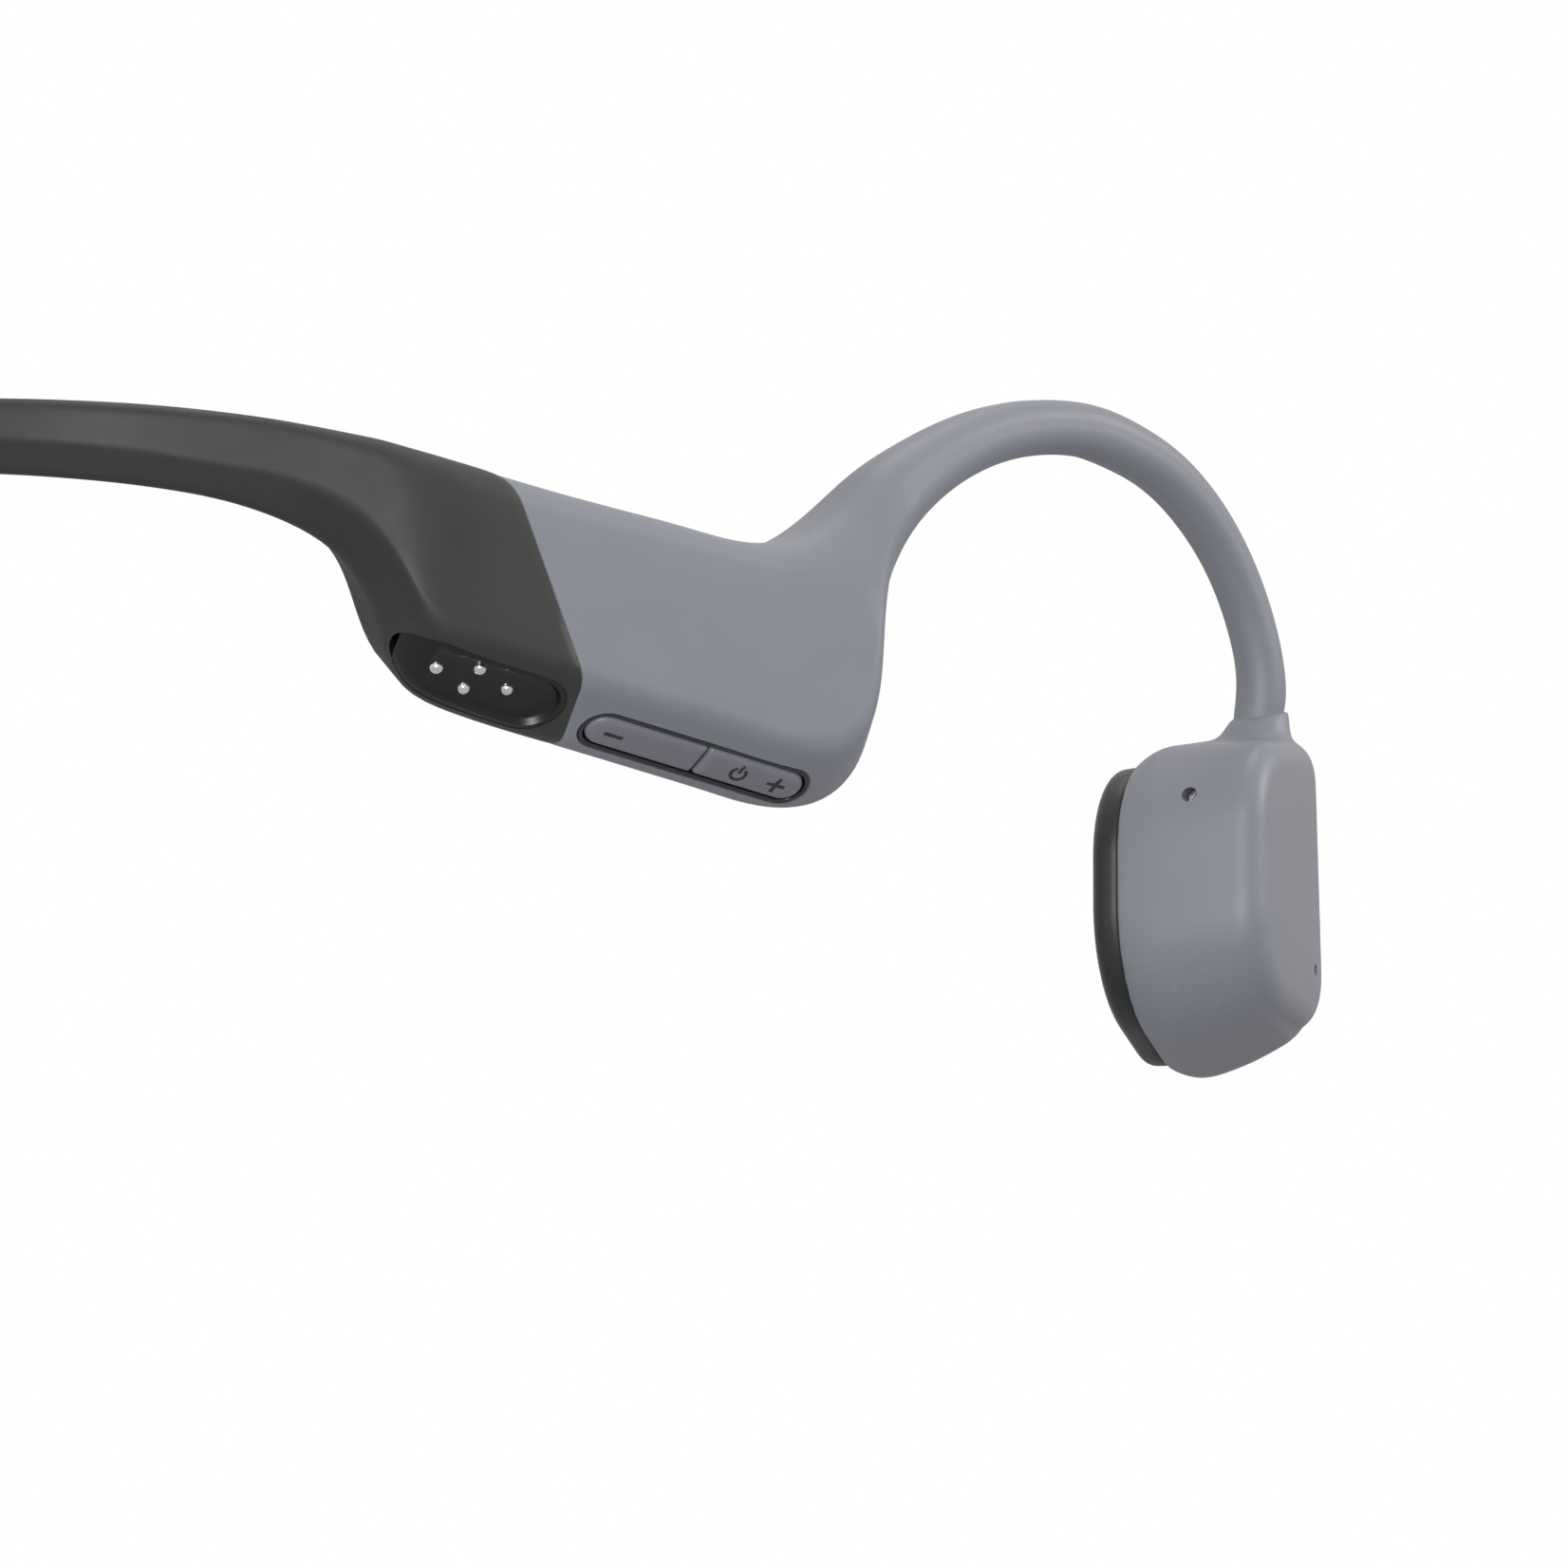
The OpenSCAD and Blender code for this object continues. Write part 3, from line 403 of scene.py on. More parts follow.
def finish(name, colour, rough, metal=0.0, grain=4000.0, depth=0.012, tone=0.1, patch=110.0, rough_by=0.06,
           coat=0.0, sheen=0.0, stretch=(1, 1, 1), edge_highlight=0.0, weave=None):
    """A moulded, coated or metal surface: fine grain in bump and roughness, slow drift in tone, and a painted
    highlight that lightens convex edges.
    """
    mat = bpy.data.materials.new(name)
    mat.use_nodes = True
    nt = mat.node_tree
    bsdf = nt.nodes["Principled BSDF"]
    bsdf.inputs["Metallic"].default_value = metal
    bsdf.inputs["Coat Weight"].default_value = coat
    bsdf.inputs["Coat Roughness"].default_value = 0.08
    bsdf.inputs["Sheen Weight"].default_value = sheen
    bsdf.inputs["Sheen Roughness"].default_value = 0.45
    link = nt.links.new
    coords = node(nt, "ShaderNodeTexCoord")
    spread = node(nt, "ShaderNodeMapping")
    spread.inputs["Scale"].default_value = stretch
    link(coords.outputs["Object"], spread.inputs["Vector"])
    fine = node(nt, "ShaderNodeTexNoise", Scale=grain, Detail=3.0, Roughness=0.6)
    slow = node(nt, "ShaderNodeTexNoise", Scale=patch, Detail=4.0, Roughness=0.55)
    link(spread.outputs["Vector"], fine.inputs["Vector"])
    link(coords.outputs["Object"], slow.inputs["Vector"])
    ramp = node(nt, "ShaderNodeMapRange")
    for k, v in (("From Min", 0.3), ("From Max", 0.7), ("To Min", 1 - tone), ("To Max", 1 + tone)):
        ramp.inputs[k].default_value = v
    link(slow.outputs["Fac"], ramp.inputs["Value"])
    speck = node(nt, "ShaderNodeMapRange")
    for k, v in (("From Min", 0.3), ("From Max", 0.7), ("To Min", 1 - 0.4 * tone),
                 ("To Max", 1 + 0.4 * tone)):
        speck.inputs[k].default_value = v
    link(fine.outputs["Fac"], speck.inputs["Value"])
    both = node(nt, "ShaderNodeMath", operation="MULTIPLY")
    link(ramp.outputs["Result"], both.inputs[0])
    link(speck.outputs["Result"], both.inputs[1])
    base = node(nt, "ShaderNodeRGB")
    base.outputs[0].default_value = (*colour, 1)
    tint = node(nt, "ShaderNodeVectorMath", operation="SCALE")
    link(base.outputs[0], tint.inputs[0])
    link(both.outputs[0], tint.inputs["Scale"])
    colour_out = tint.outputs[0]
    # Painted highlight: convex edges, found by pointiness, are mixed towards a lighter colour
    if edge_highlight:
        geo = node(nt, "ShaderNodeNewGeometry")
        edge = node(nt, "ShaderNodeMapRange")
        for k, v in (("From Min", 0.505), ("From Max", 0.56), ("To Min", 0.0), ("To Max", edge_highlight)):
            edge.inputs[k].default_value = v
        link(geo.outputs["Pointiness"], edge.inputs["Value"])
        mix = node(nt, "ShaderNodeMix", data_type="RGBA")
        link(edge.outputs["Result"], mix.inputs[0])
        link(colour_out, mix.inputs[6])
        mix.inputs[7].default_value = (*[min(1, c * 1.5 + 0.02) for c in colour], 1)
        colour_out = mix.outputs[2]
    link(colour_out, bsdf.inputs["Base Color"])
    gloss = node(nt, "ShaderNodeMapRange")
    for k, v in (("From Min", 0.3), ("From Max", 0.7), ("To Min", rough - rough_by),
                 ("To Max", rough + rough_by)):
        gloss.inputs[k].default_value = v
    link(slow.outputs["Fac"], gloss.inputs["Value"])
    link(gloss.outputs["Result"], bsdf.inputs["Roughness"])
    bump = node(nt, "ShaderNodeBump")
    bump.inputs["Strength"].default_value = 1.0
    bump.inputs["Distance"].default_value = depth * MM
    height = fine.outputs["Fac"]
    if weave:
        wave = node(nt, "ShaderNodeTexVoronoi" if weave[0] == "cells" else "ShaderNodeTexWave",
                    Scale=weave[1])
        link(coords.outputs["Object"], wave.inputs["Vector"])
        added = node(nt, "ShaderNodeMath", operation="MULTIPLY_ADD")
        link(wave.outputs["Distance" if weave[0] == "cells" else "Fac"], added.inputs[0])
        added.inputs[1].default_value = weave[2]
        link(height, added.inputs[2])
        height = added.outputs[0]
    link(height, bump.inputs["Height"])
    link(bump.outputs["Normal"], bsdf.inputs["Normal"])
    return mat


GREY = (0.19, 0.195, 0.222)
# The edge values given to the silicones, the shell and the buttons paint a highlight on their convex edges
M = {
    "dark_silicone": finish("dark_silicone", (0.022, 0.0235, 0.019), 0.58, grain=5200, depth=0.006, tone=0.08,
                            sheen=0.03, edge_highlight=0.15),
    "grey_silicone": finish("grey_silicone", GREY, 0.5, grain=5200, depth=0.006, tone=0.035, sheen=0.08,
                            edge_highlight=0.08),
    "grey_shell": finish("grey_shell", GREY, 0.46, grain=5600, depth=0.005, tone=0.035, sheen=0.05,
                         edge_highlight=0.08),
    "pad_silicone": finish("pad_silicone", (0.011, 0.012, 0.0115), 0.5, grain=4200, depth=0.006, tone=0.1,
                           sheen=0.1),
    "spring_wire": finish("spring_wire", (0.5, 0.51, 0.53), 0.28, 1.0, grain=9000, depth=0.003,
                          stretch=(1, 1, 0.1)),
    "cable_jacket": finish("cable_jacket", (0.02, 0.021, 0.023), 0.5, grain=3500, depth=0.01,
                           weave=("bands", 900, 0.4)),
    "inner_frame": finish("inner_frame", (0.028, 0.029, 0.032), 0.42, grain=2600, depth=0.02, tone=0.12),
    "crimp_metal": finish("crimp_metal", (0.62, 0.47, 0.24), 0.3, 1.0, grain=7000, depth=0.004,
                          stretch=(1, 1, 0.2)),
    "port_gloss": finish("port_gloss", (0.002, 0.002, 0.002), 0.34, grain=1800, depth=0.002, rough_by=0.03),
    "contact_metal": finish("contact_metal", (0.9, 0.88, 0.82), 0.14, 1.0, grain=6000, depth=0.002,
                            rough_by=0.04),
    "magnet_metal": finish("magnet_metal", (0.6, 0.59, 0.57), 0.24, 1.0, grain=5000, depth=0.004,
                           rough_by=0.08),
    "circuit_board": finish("circuit_board", (0.014, 0.1, 0.05), 0.3, grain=1500, depth=0.02, coat=0.5,
                            weave=("cells", 1300, 0.6)),
    "chip_black": finish("chip_black", (0.016, 0.016, 0.018), 0.55, grain=5000, depth=0.01, tone=0.15),
    "antenna_metal": finish("antenna_metal", (0.75, 0.76, 0.78), 0.22, 1.0, grain=3000, depth=0.004,
                            stretch=(0.1, 1, 1)),
    "bezel_dark": finish("bezel_dark", (0.012, 0.012, 0.014), 0.26, grain=4800, depth=0.004, coat=0.3),
    "button_grey": finish("button_grey", (0.165, 0.167, 0.19), 0.4, grain=5200, depth=0.006, tone=0.05,
                          edge_highlight=0.15),
    "switch_metal": finish("switch_metal", (0.62, 0.62, 0.64), 0.26, 1.0, grain=5000, depth=0.004,
                           rough_by=0.08),
    "plate_metal": finish("plate_metal", (0.38, 0.39, 0.41), 0.3, 1.0, grain=4000, depth=0.005,
                          stretch=(1, 0.1, 1)),
    "spring_bronze": finish("spring_bronze", (0.6, 0.38, 0.17), 0.28, 1.0, grain=4600, depth=0.004),
    "copper_wire": finish("copper_wire", (0.75, 0.33, 0.15), 0.25, 1.0, grain=6000, depth=0.01,
                          weave=("bands", 1500, 1.0)),
    "microphone_metal": finish("microphone_metal", (0.72, 0.58, 0.32), 0.25, 1.0, grain=5000, depth=0.004),
    "mesh_metal": finish("mesh_metal", (0.25, 0.26, 0.27), 0.35, 1.0, grain=5000, depth=0.02,
                         weave=("cells", 9000, 2.0)),
    "battery_foil": finish("battery_foil", (0.5, 0.56, 0.65), 0.24, 1.0, grain=420, depth=0.05,
                           rough_by=0.08),
    "foam": finish("foam", (0.045, 0.045, 0.047), 0.9, grain=2600, depth=0.05, weave=("cells", 2600, 1.5)),
    "mark_ink": finish("mark_ink", (0.012, 0.012, 0.014), 0.4, grain=5200, depth=0.003),
}
SLOT_OF = {s["node"]: s["material_slot"] for s in frame["record"]["subparts"]}
for name, o in frame["nodes"].items():
    for k in range(max(1, len(o.material_slots))):
        if not o.material_slots:
            o.data.materials.append(M[SLOT_OF[name]])
        o.material_slots[k].material = M[SLOT_OF[name]]


def dress(o, slot, material=None):
    o.data.materials.clear()
    o.data.materials.append(M[material or slot])
    return o


# ------------------------------------------------------------------ neckband and rear of the pods
right_dark = half_band[:6] + rear_pod
fine = resample(right_dark, 0.7, 8)


def dark_rings(w):
    """Rings along the whole dark part. Its sections mirror at the back middle."""
    right = [ring(t, t[25] if w else 0.0) for t in fine]
    left = [r * np.array([-1, 1, 1]) for r in reversed(right[1:])]
    return left, right


def dark_skin():
    rings = []
    for w in (0, 1):
        left, right = dark_rings(w)
        rings.append(left + right)
    outer, inner = rings
    lip = ring(fine[-1], 0.1)
    outer[-1], outer[0] = lip, lip * np.array([-1, 1, 1])
    edge = ring(fine[-1], 0.02) * 0.85 + ring(fine[-2], 0.0) * 0.15
    outer.insert(-1, edge)
    outer.insert(1, edge * np.array([-1, 1, 1]))
    inner.insert(-1, inner[-1] * 0.85 + inner[-2] * 0.15)
    inner.insert(1, inner[0] * 0.85 + inner[1] * 0.15)
    return tube("neckband_and_pod_rears", outer, inner)


PILL_BEZEL = (18.6, 3.7)
PILL_PORT = (12.8, 5.4)
dark = dark_skin()
cut(dark, pill_loft("t", IN_PORT, *PILL_PORT, [(0, -4), (0, -0.3), (-0.05, 0.1), (-0.3, 3)]))
cut(dark, pill_loft("t", IN_BEZEL, *PILL_BEZEL, [(0, -4), (0, 2)]))
crease(dark)
dress(dark, "dark_silicone")
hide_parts("neckband_sleeve", "right_pod_rear_skin", "left_pod_rear_skin")
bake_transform(dark)

# ------------------------------------------------------------------ front of the pods and the hooks
# The hook's end runs on inside the stem of the transducer, so no open edge shows at the joint
grey_rows = front_pod + hook + [hook_station((59.15, 45.45, 25), 85, -84, 3.3, 3.2)]


def grey_skin(name):
    return skin(name, grey_rows, 0.55)


right_grey = grey_skin("right_pod_front_and_hook")
left_grey = mirrored(right_grey, "left_pod_front_and_hook")
cut(right_grey, pill_loft("t", IN_BEZEL, *PILL_BEZEL, [(0, -4), (0, -0.15), (-0.06, 0.05), (-0.1, 2)]))
cut(right_grey, pill_loft("t", IN_PORT, *PILL_PORT, [(0, -4), (0, 3)]))
for o, side, sign in ((right_grey, "right", 1), (left_grey, "left", -1)):
    crease(o)
    dress(o, "grey_silicone")
    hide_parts(f"{side}_pod_front_skin", f"{side}_hook_sleeve")
    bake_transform(o)

# ------------------------------------------------------------------ wires and cables inside band and hooks
def at(s, z, out):
    return np.append(plan(s) + out * outward(heading(s)), z)


wire_half = [at(BACK_S, 35.7, 0.1), at(-52, 35.7, 0.1), at(-46, 35.5, 0.1), at(-40, 35.1, 0.1),
             at(-34, 34.8, 0.1),
             at(-29, 34.3, 0.1), at(-25.5, 33.5, 0.1), at(-22, 32.1, 0.1), at(-19.4, 30.6, 0.1),
             pod_point(-16, 0.1, 2.8), pod_point(-11.4, 0.1, 2.8)]
cable_half = [at(BACK_S, 34.2, -0.2), at(-52, 34.2, -0.2), at(-46, 34, -0.2), at(-40, 33.5, -0.2),
              at(-34, 32.9, -0.2),
              at(-29, 32.2, -0.2), at(-25.5, 31.4, -0.2), at(-22, 29.9, -0.2), at(-19.2, 27.9, -0.2),
              at(-15.5, 25.6, -0.2), at(-12, 24.6, -0.2)]
for name, half, d, slot in (("neckband_wire", wire_half, 1.2, "spring_wire"),
                            ("neckband_cable", cable_half, 0.9, "cable_jacket")):
    path = [p * np.array([-1, 1, 1]) for p in reversed(half)] + half[1:]
    o = dress(rod(name + "_swept", path, d), slot)
    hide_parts(name)
    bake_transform(o)


def in_hook(side):
    out = []
    for t, r in zip(hook, hook_path):
        out.append(t[0:3] + side * np.append(outward(t[6]), 0) + r[2] / 2 * t[3:6])
    return out


hook_wire = [pod_point(9.9, 1.4, 2.1), pod_point(12.9, 1.4, 5.1),
             pod_point(16.2, 1.6, 9.3)] + in_hook(-0.42) \
    + [cup_point(2.7, 4, 22.4), cup_point(2.6, 3.9, 19.6)]
hook_cable = [pod_point(9.4, 2.4, -2.5), pod_point(12, 2.8, 1), pod_point(14.8, 2.9, 5.4),
              pod_point(17.2, 2.7, 10)] \
    + in_hook(0.4) + [cup_point(3.5, 4, 22.4), cup_point(3.4, 3.9, 20.8)]
for kind, path, d, slot in (("hook_wire", hook_wire, 0.8, "spring_wire"),
                            ("hook_cable", hook_cable, 0.7, "cable_jacket")):
    for side, sign in (("right", 1), ("left", -1)):
        o = dress(rod(f"{side}_{kind}_swept", [p * np.array([sign, 1, 1]) for p in path], d, 10), slot)
        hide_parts(f"{side}_{kind}")
        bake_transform(o)

# ------------------------------------------------------------------ transducers
SEAM, FACE = -3.5, 7.1
# Outline corners [forward, up] and their radii at the pad's seam, at the widest part and at the outer face
seam_shape = np.array([[-8.6, 4.2, 9], [9.5, -1.4, 5.4], [7, 23.5, 3.2], [-8.6, 20.2, 7.4]])
belly_shape = np.array([[-8.6, 3.6, 8.6], [9.7, -2.1, 5.2], [7, 24.8, 2.6], [-8.6, 21.4, 7.9]])
rim_shape = np.array([[-8.2, 4, 7], [8.3, 2.7, 4.2], [6.6, 24.3, 2.8], [-8.2, 21.7, 6.4]])


def cup_ring(f, x, w, n=16, flats=10):
    shape = belly_shape + ((rim_shape if f > 0 else seam_shape) - belly_shape) * abs(f)
    pts, radii = shape[:, :2], shape[:, 2]
    arcs = []
    for i in range(4):
        p, q, r = pts[i - 1], pts[i], pts[(i + 1) % 4]
        a, b = unit(p - q), unit(r - q)
        half = math.acos(float(a @ b)) / 2
        keep = max(radii[i] - w, 0.2)
        c = q + (w + keep) / math.sin(half) * unit(a + b)
        a0 = math.atan2(-(q - p)[0], (q - p)[1])
        turn = (math.atan2(-(r - q)[0], (r - q)[1]) - a0 + math.pi) % (2 * math.pi) - math.pi
        k = a0 + turn * np.linspace(0, 1, n)
        arcs.append(c + keep * np.stack([np.cos(k), np.sin(k)], 1))
    out = []
    for i in range(4):
        a, b = arcs[i][-1], arcs[(i + 1) % 4][0]
        out += [arcs[i], a + (b - a) * np.linspace(0, 1, flats + 2)[1:-1, None]]
    out = np.concatenate(out)
    return put(IN_CUP, np.column_stack([np.full(len(out), x), out]))


def cup_loft(name, levels):
    return loft(name, [cup_ring(*l) for l in levels])


def quarter(x0, x1, w0, w1, f, n=7):
    """Levels round an edge, from the side wall at x0 to the face at x1."""
    k = np.linspace(0, math.pi / 2, n)[1:]
    return [(f, x0 + (x1 - x0) * math.sin(a), w0 + (w1 - w0) * (1 - math.cos(a))) for a in k]


# The shell is evened out in voxels, then smoothed more within this reach of the stem's root
VOXEL, VOXEL_QUICK = 0.00022, 0.0003
ROOT_AT, ROOT_REACH, ROOT_TOP = Vector((0.0589, 0.0452, 0.0242)), 6.5, 0.0259
# The hole for the wire and the cable down the stem
HOLE_AT, HOLE_R = (3.1, 4), 1.15


def shell(name):
    """A transducer shell: the outline's levels from seam to face, with the stem grown out of its top."""
    side = [(-1, SEAM, 0.12), (-0.95, SEAM + 0.12, 0), (-0.62, SEAM + 0.55, 0), (-0.35, SEAM + 1, 0),
            (-0.12, SEAM + 1.6, 0),
            (0, SEAM + 2.2, 0), (0.03, SEAM + 3, 0), (0.1, SEAM + 3.8, 0), (0.21, SEAM + 4.8, 0),
            (0.36, SEAM + 6, 0),
            (0.54, SEAM + 7.2, 0), (0.7, SEAM + 8.2, 0), (0.85, FACE - 1.7, 0)]
    body = cup_loft(name, side + quarter(FACE - 1.7, FACE - 0.12, 0, 1.9, 1)
                    + [(1, FACE - 0.05, 3), (1, FACE + 0.02, 4.2), (1, FACE + 0.05, 5.6)])
    stem = loft("stem", [ring(t, -0.1) for t in resample([hook[14]] + neck, 0.5)])
    cut(body, stem, "UNION")
    m = body.modifiers.new("even", "REMESH")
    m.mode, m.voxel_size = "VOXEL", VOXEL
    settle(body)
    m = body.modifiers.new("soften", "SMOOTH")
    m.factor, m.iterations = 0.5, 12
    settle(body)
    root = body.vertex_groups.new(name="root")
    for v in body.data.vertices:
        inside = ROOT_REACH - (v.co - ROOT_AT).length / MM
        below = (ROOT_TOP - v.co.z) / MM
        if inside > 0 and below > 0:
            root.add([v.index], min(1, inside / 3) * min(1, below / 0.8), "REPLACE")
    m = body.modifiers.new("fillet", "SMOOTH")
    m.factor, m.iterations, m.vertex_group = 0.5, 60, "root"
    settle(body)
    body.vertex_groups.clear()
    levels = [(-1, SEAM - 1, 1.1), (-1, SEAM, 1.1), (-0.35, SEAM + 1, 1.1), (0, SEAM + 2.2, 1.1),
              (0.36, SEAM + 6, 1.1),
              (0.75, FACE - 1.8, 1.1), (1, FACE - 1.1, 1.8)]
    cut(body, loft("cavity", [cup_ring(*l, 6, 1) for l in levels]))
    k = np.arange(24) * math.pi / 12
    x, y = HOLE_AT[0] + HOLE_R * np.cos(k), HOLE_AT[1] + HOLE_R * np.sin(k)
    hole = [put(IN_CUP, np.column_stack([x, y, np.full(24, z)])) for z in (19.5, 29)]
    return cut(body, loft("cable_hole", hole))


def round_tool(m, r, z0, z1, flare):
    k = np.arange(28) * 2 * math.pi / 28
    rows = [(r, z0), (r, z1 - flare), (r * 1.25, z1)]
    return loft("t", [put(m, np.column_stack([q * np.cos(k), q * np.sin(k),
                                              np.full(28, z)])) for q, z in rows])


right_shell = shell("right_transducer_body")
left_shell = mirrored(right_shell, "left_transducer_body")
REAR_MIC = IN_CUP @ Matrix.Translation((1.7, -10, 18.2)) @ rot("X", -90)
FRONT_MIC = IN_CUP @ Matrix.Translation((5, 4.6, 7.4)) @ rot("Y", 90)
cut(right_shell, round_tool(REAR_MIC, 0.55, -1, 5, 0.1))
cut(right_shell, round_tool(FRONT_MIC, 0.4, -1, 4, 0.1))
IN_MULTI = IN_CUP @ Matrix.Translation((0, -0.4, 13.2)) @ rot("Y", 90)
ACROSS = Matrix.Scale(-1, 4, Vector((1, 0, 0)))
cut(left_shell, pill_loft("t", ACROSS @ IN_MULTI, 8.4, 4.6, [(0, 3), (0, FACE - 0.15), (-0.15, FACE + 0.05),
                                                             (-0.3, 8)]))
for o, side in ((right_shell, "right"), (left_shell, "left")):
    crease(o, 50)
    dress(o, "grey_shell")
    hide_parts(f"{side}_transducer_shell")
    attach(o, f"{side}_transducer")


def pad(name):
    """A cheek pad, from the seam to its rounded face."""
    levels = [(-1, SEAM, 0.3), (-1, SEAM - 0.1, 0.22), (-1, SEAM - 0.5, 0.2), (-1, SEAM - 1.0, 0.22)]
    levels += quarter(SEAM - 1.0, SEAM - 2.17, 0.22, 2, -1, 9)
    levels += [(-1, SEAM - 2.19, 2.6), (-1, SEAM - 2.2, 3.4), (-1, SEAM - 2.2, 4.6)]
    return cup_loft(name, levels)


right_pad = pad("right_cheek_pad")
left_pad = mirrored(right_pad, "left_cheek_pad")
for o, side in ((right_pad, "right"), (left_pad, "left")):
    crease(o, 50)
    dress(o, "pad_silicone")
    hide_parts(f"{side}_transducer_pad")
    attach(o, f"{side}_transducer")

# ------------------------------------------------------------------ charging port
rear_solid = loft("rear_solid", [ring(t, 0.06) for t in fine[len(fine) // 2:]])
port = pill_loft("charging_port_dish", IN_PORT, *[v - 0.02 for v in PILL_PORT], [(0, -2.6), (0, 2.2)])
cut(port, rear_solid, "INTERSECT")
cut(port, pill_loft("t", IN_PORT, *PILL_PORT, [(1.5, -0.68), (1.1, -0.66), (0.8, -0.58), (0.62, -0.45),
                                               (0.52, -0.25),
                                               (0.36, -0.02), (0.1, 0.3), (-0.2, 0.8)]))
crease(port, 40)
dress(port, "port_gloss")
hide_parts("charging_port_insert")
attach(port, "right_side")


def lathe(name, m, profile, n=32):
    k = np.arange(n) * 2 * math.pi / n
    return loft(name, [put(m, np.column_stack([r * np.cos(k), r * np.sin(k),
                                               np.full(n, z)])) for r, z in profile])


pins = []
for i, (x, y) in enumerate([(-2.85, 0), (2.85, 0), (0, 1.05), (0, -1.05)]):
    m = IN_PORT @ Matrix.Translation((-0.8 + x, 0.15 + y, 0))
    k = np.linspace(0, math.pi / 2, 9)
    dome = [(max(0.5 * math.cos(a), 0.03), -0.7 + 0.5 * math.sin(a)) for a in k]
    pins.append(lathe(f"pin{i}", m, [(0.5, -3.2), (0.5, -0.74)] + dome))
pins = dress(join("charging_contact_pins", pins), "contact_metal")
crease(pins, 50)
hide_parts("charging_contacts")
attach(pins, "right_side")

# The magnets sit deeper than their solids, so that the dish hides them
MAGNET_X = 4.9
magnet_profile = [(0.78, -3), (0.8, -2.9), (0.8, -2.2), (0.7, -2.1)]
discs = [lathe(f"disc{x}", ON_FACE @ Matrix.Translation((PORT_X + x, -0.4, 0)), magnet_profile)
         for x in (-MAGNET_X, MAGNET_X)]
discs = dress(join("charging_magnet_discs", discs), "magnet_metal")
crease(discs, 40)
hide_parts("charging_magnets")
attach(discs, "right_side")

# ------------------------------------------------------------------ volume buttons
bezel = pill_loft("button_surround", IN_BEZEL, *[v - 0.02 for v in PILL_BEZEL],
                  [(0, -2), (0, -0.25), (0.04, -0.12), (0.12, -0.06), (0.2, -0.05), (0.3, -0.08),
                   (0.36, -0.16)])
cut(bezel, pill_loft("t", IN_BEZEL, *PILL_BEZEL, [(0.4, -3), (0.4, -0.2), (0.36, -0.1), (0.3, 0.5)]))
crease(bezel, 40)
dress(bezel, "bezel_dark")
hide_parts("button_bezel")
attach(bezel, "right_side")


def button_top(name, m, length, width, split, side, levels, flange):
    """A pill cut at split; side +1 keeps what is beyond it. levels are (inset, z)."""
    def outline(w, z, grow=0.0):
        r = width / 2 + grow - w
        end = side * (length / 2 + grow - w)
        near = split + side * (0.1 + w)
        k = np.linspace(-math.pi / 2, math.pi / 2, 24)
        arc = np.stack([end - side * (r - r * np.cos(k)), r * np.sin(k)], 1)
        c = 0.18
        back = [(near + side * c, r), (near + side * c * 0.3, r - c * 0.3), (near, r - c), (near, 0),
                (near, -(r - c)),
                (near + side * c * 0.3, -(r - c * 0.3)), (near + side * c, -r)]
        p = np.concatenate([arc, back])
        return put(m, np.column_stack([p, np.full(len(p), z)]))
    top = loft(name, [outline(w, z) for w, z in levels])
    skirt = loft("skirt", [outline(0, z, flange[0]) for z in flange[1:]])
    return join(name, [top, skirt])


crown = [(0, -2.05), (0, -0.28), (0.04, -0.14), (0.12, -0.03), (0.25, 0.04), (0.42, 0.08), (0.7, 0.1),
         (1.05, 0.1)]
for name, side in (("volume_down", -1), ("volume_up", 1)):
    o = button_top(name + "_key", IN_BEZEL, 17.5, 2.6, 0.5, side, crown, (0.4, -2.6, -2.06))
    crease(o, 40)
    dress(o, "button_grey")
    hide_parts(name + "_button")
    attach(o, name)


def slab(name, outline, m, z0, z1):
    return loft(name, [put(m, np.column_stack([np.array(outline), np.full(len(outline), z)]))
                       for z in (z0, z1)], False)


def bar(x, y, length, width, turn=0.0):
    c, s = math.cos(math.radians(turn)), math.sin(math.radians(turn))
    return [(x + a * c - b * s, y + a * s + b * c) for a, b in
            ((-length / 2, -width / 2), (length / 2, -width / 2), (length / 2, width / 2),
             (-length / 2, width / 2))]


def arc_strip(x, y, r, width, start, end, n=20):
    k = np.radians(np.linspace(start, end, n))
    outer = [(x + (r + width / 2) * math.cos(a), y + (r + width / 2) * math.sin(a)) for a in k]
    return outer + [(x + (r - width / 2) * math.cos(a), y + (r - width / 2) * math.sin(a)) for a in k[::-1]]


minus = dress(slab("minus_mark", bar(-6.7, 0, 1.5, 0.3), IN_BEZEL, 0.05, 0.115), "button_grey", "mark_ink")
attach(minus, "volume_down")
plus = join("plus_mark", [slab("p1", bar(6.7, 0, 1.4, 0.3), IN_BEZEL, 0.05, 0.115),
                          slab("p2", bar(6.7, 0, 0.3, 1.4), IN_BEZEL, 0.05, 0.114)])
power = join("power_mark", [slab("p3", arc_strip(3.6, 0, 0.55, 0.24, 125, 415), IN_BEZEL, 0.05, 0.115),
                            slab("p4", bar(3.6, 0.45, 0.24, 0.8), IN_BEZEL, 0.05, 0.116)])
for o in (plus, power):
    dress(o, "button_grey", "mark_ink")
    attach(o, "volume_up")

multi = [pill_loft("multi", ACROSS @ IN_MULTI, 8.1, 4.3, [(0, FACE - 1.2), (0, FACE - 0.2),
                                                          (0.06, FACE - 0.06), (0.2, FACE + 0.05),
                                                         (0.5, FACE + 0.12), (1.0, FACE + 0.15),
                                                          (1.6, FACE + 0.15)]),
         pill_loft("multi_skirt", ACROSS @ IN_MULTI, 9.4, 5.6, [(0, FACE - 1.7), (0, FACE - 1.2)])]
multi = dress(crease(join("multifunction_key", multi), 40), "button_grey")
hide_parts("multifunction_button")
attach(multi, "multifunction")

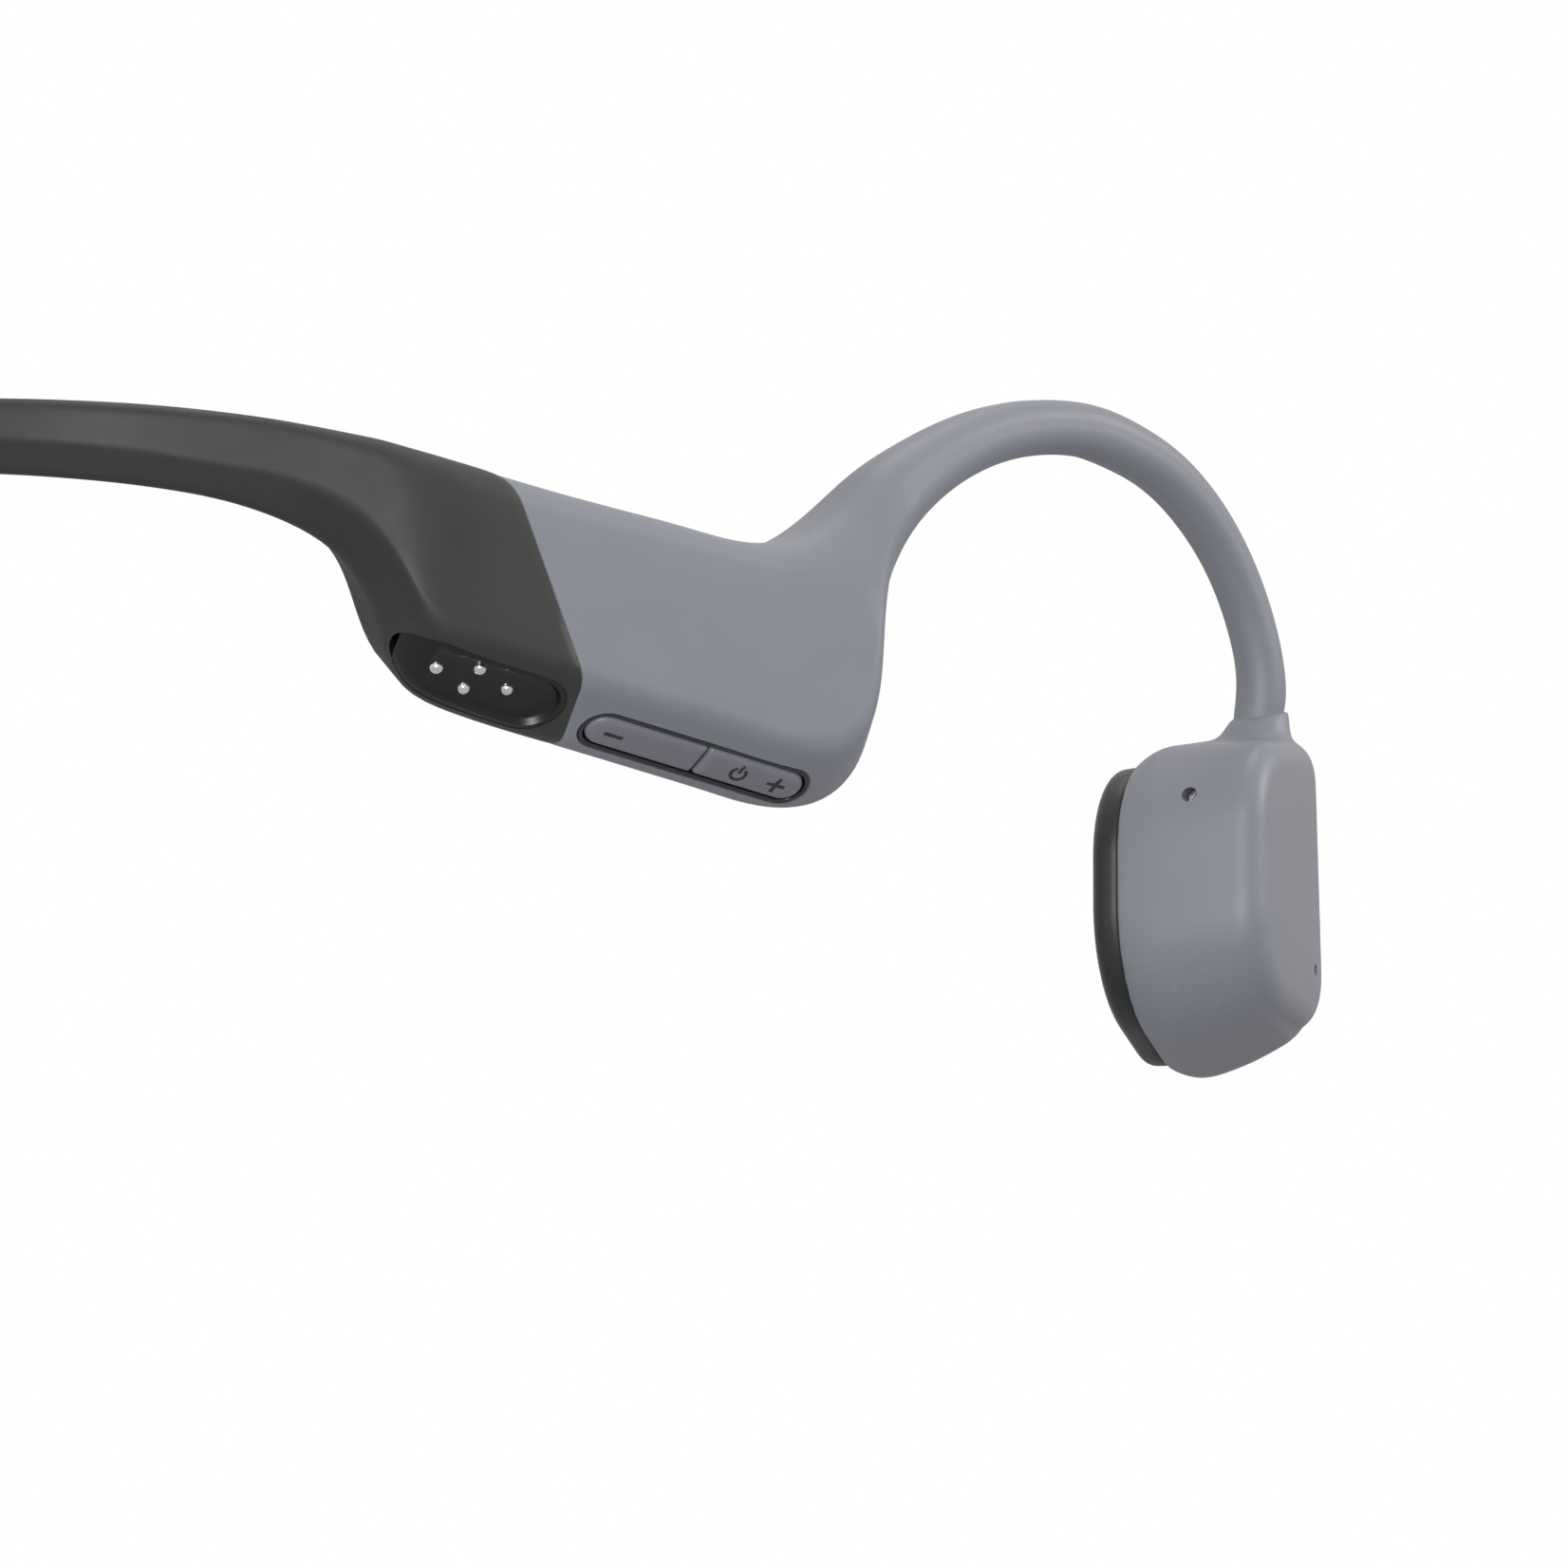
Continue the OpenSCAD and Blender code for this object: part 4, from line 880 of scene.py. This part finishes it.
# ------------------------------------------------------------------ camera, light and backdrop
# The camera is 31 degrees round from straight behind and 10 degrees below. There is no floor, as the camera
# looks up from below it.
TARGET = Vector((0.044, 0.00585, 0.0162))
BACK = Vector((0.5072, -0.8441, -0.1736))
cam = bpy.data.objects.new("camera", bpy.data.cameras.new("camera"))
bpy.context.scene.collection.objects.link(cam)
cam.location = TARGET + BACK
cam.rotation_mode = "QUATERNION"
cam.rotation_quaternion = (-BACK).to_track_quat("-Z", "Y")
cam.data.lens, cam.data.sensor_width = 333.4, 36
cam.data.clip_start, cam.data.clip_end = 0.05, 20
bpy.context.scene.camera = cam


def area(name, where, size, power, colour=(1, 1, 1), aim=TARGET):
    data = bpy.data.lights.new(name, "AREA")
    data.shape, data.size, data.energy, data.color = "DISK", size, power, colour
    o = bpy.data.objects.new(name, data)
    bpy.context.scene.collection.objects.link(o)
    o.location = where
    o.rotation_mode = "QUATERNION"
    o.rotation_quaternion = (Vector(where) - aim).to_track_quat("Z", "Y")
    return o


area("key", (0.5, -0.9, 0.05), 0.45, 6.6)
area("top", (0.05, 0.15, 0.9), 0.5, 1.6)
area("rim", (0.6, 0.5, 0.35), 0.25, 2.2)

# White where the camera sees past the object, and a soft sky, brighter above, where light falls on it
world = bpy.data.worlds.new("studio")
bpy.context.scene.world = world
world.use_nodes = True
nt = world.node_tree
nt.nodes.clear()
out = nt.nodes.new("ShaderNodeOutputWorld")
seen = node(nt, "ShaderNodeBackground", Color=(1, 1, 1, 1), Strength=1.0)
sky = node(nt, "ShaderNodeBackground", Strength=0.72)
coords = nt.nodes.new("ShaderNodeTexCoord")
split = nt.nodes.new("ShaderNodeSeparateXYZ")
nt.links.new(coords.outputs["Generated"], split.inputs["Vector"])
shade = nt.nodes.new("ShaderNodeValToRGB")
shade.color_ramp.elements[0].color = (0.6, 0.61, 0.63, 1)
shade.color_ramp.elements[0].position = 0.3
shade.color_ramp.elements[1].color = (1, 1, 1, 1)
shade.color_ramp.elements[1].position = 0.8
lift = node(nt, "ShaderNodeMapRange")
for k, v in (("From Min", -1), ("From Max", 1), ("To Min", 0), ("To Max", 1)):
    lift.inputs[k].default_value = v
nt.links.new(split.outputs["Z"], lift.inputs["Value"])
nt.links.new(lift.outputs["Result"], shade.inputs["Fac"])
nt.links.new(shade.outputs["Color"], sky.inputs["Color"])
path = nt.nodes.new("ShaderNodeLightPath")
pick = nt.nodes.new("ShaderNodeMixShader")
nt.links.new(path.outputs["Is Camera Ray"], pick.inputs["Fac"])
nt.links.new(sky.outputs["Background"], pick.inputs[1])
nt.links.new(seen.outputs["Background"], pick.inputs[2])
nt.links.new(pick.outputs["Shader"], out.inputs["Surface"])
bpy.context.scene.view_settings.view_transform = "Standard"

bpy.context.view_layer.update()
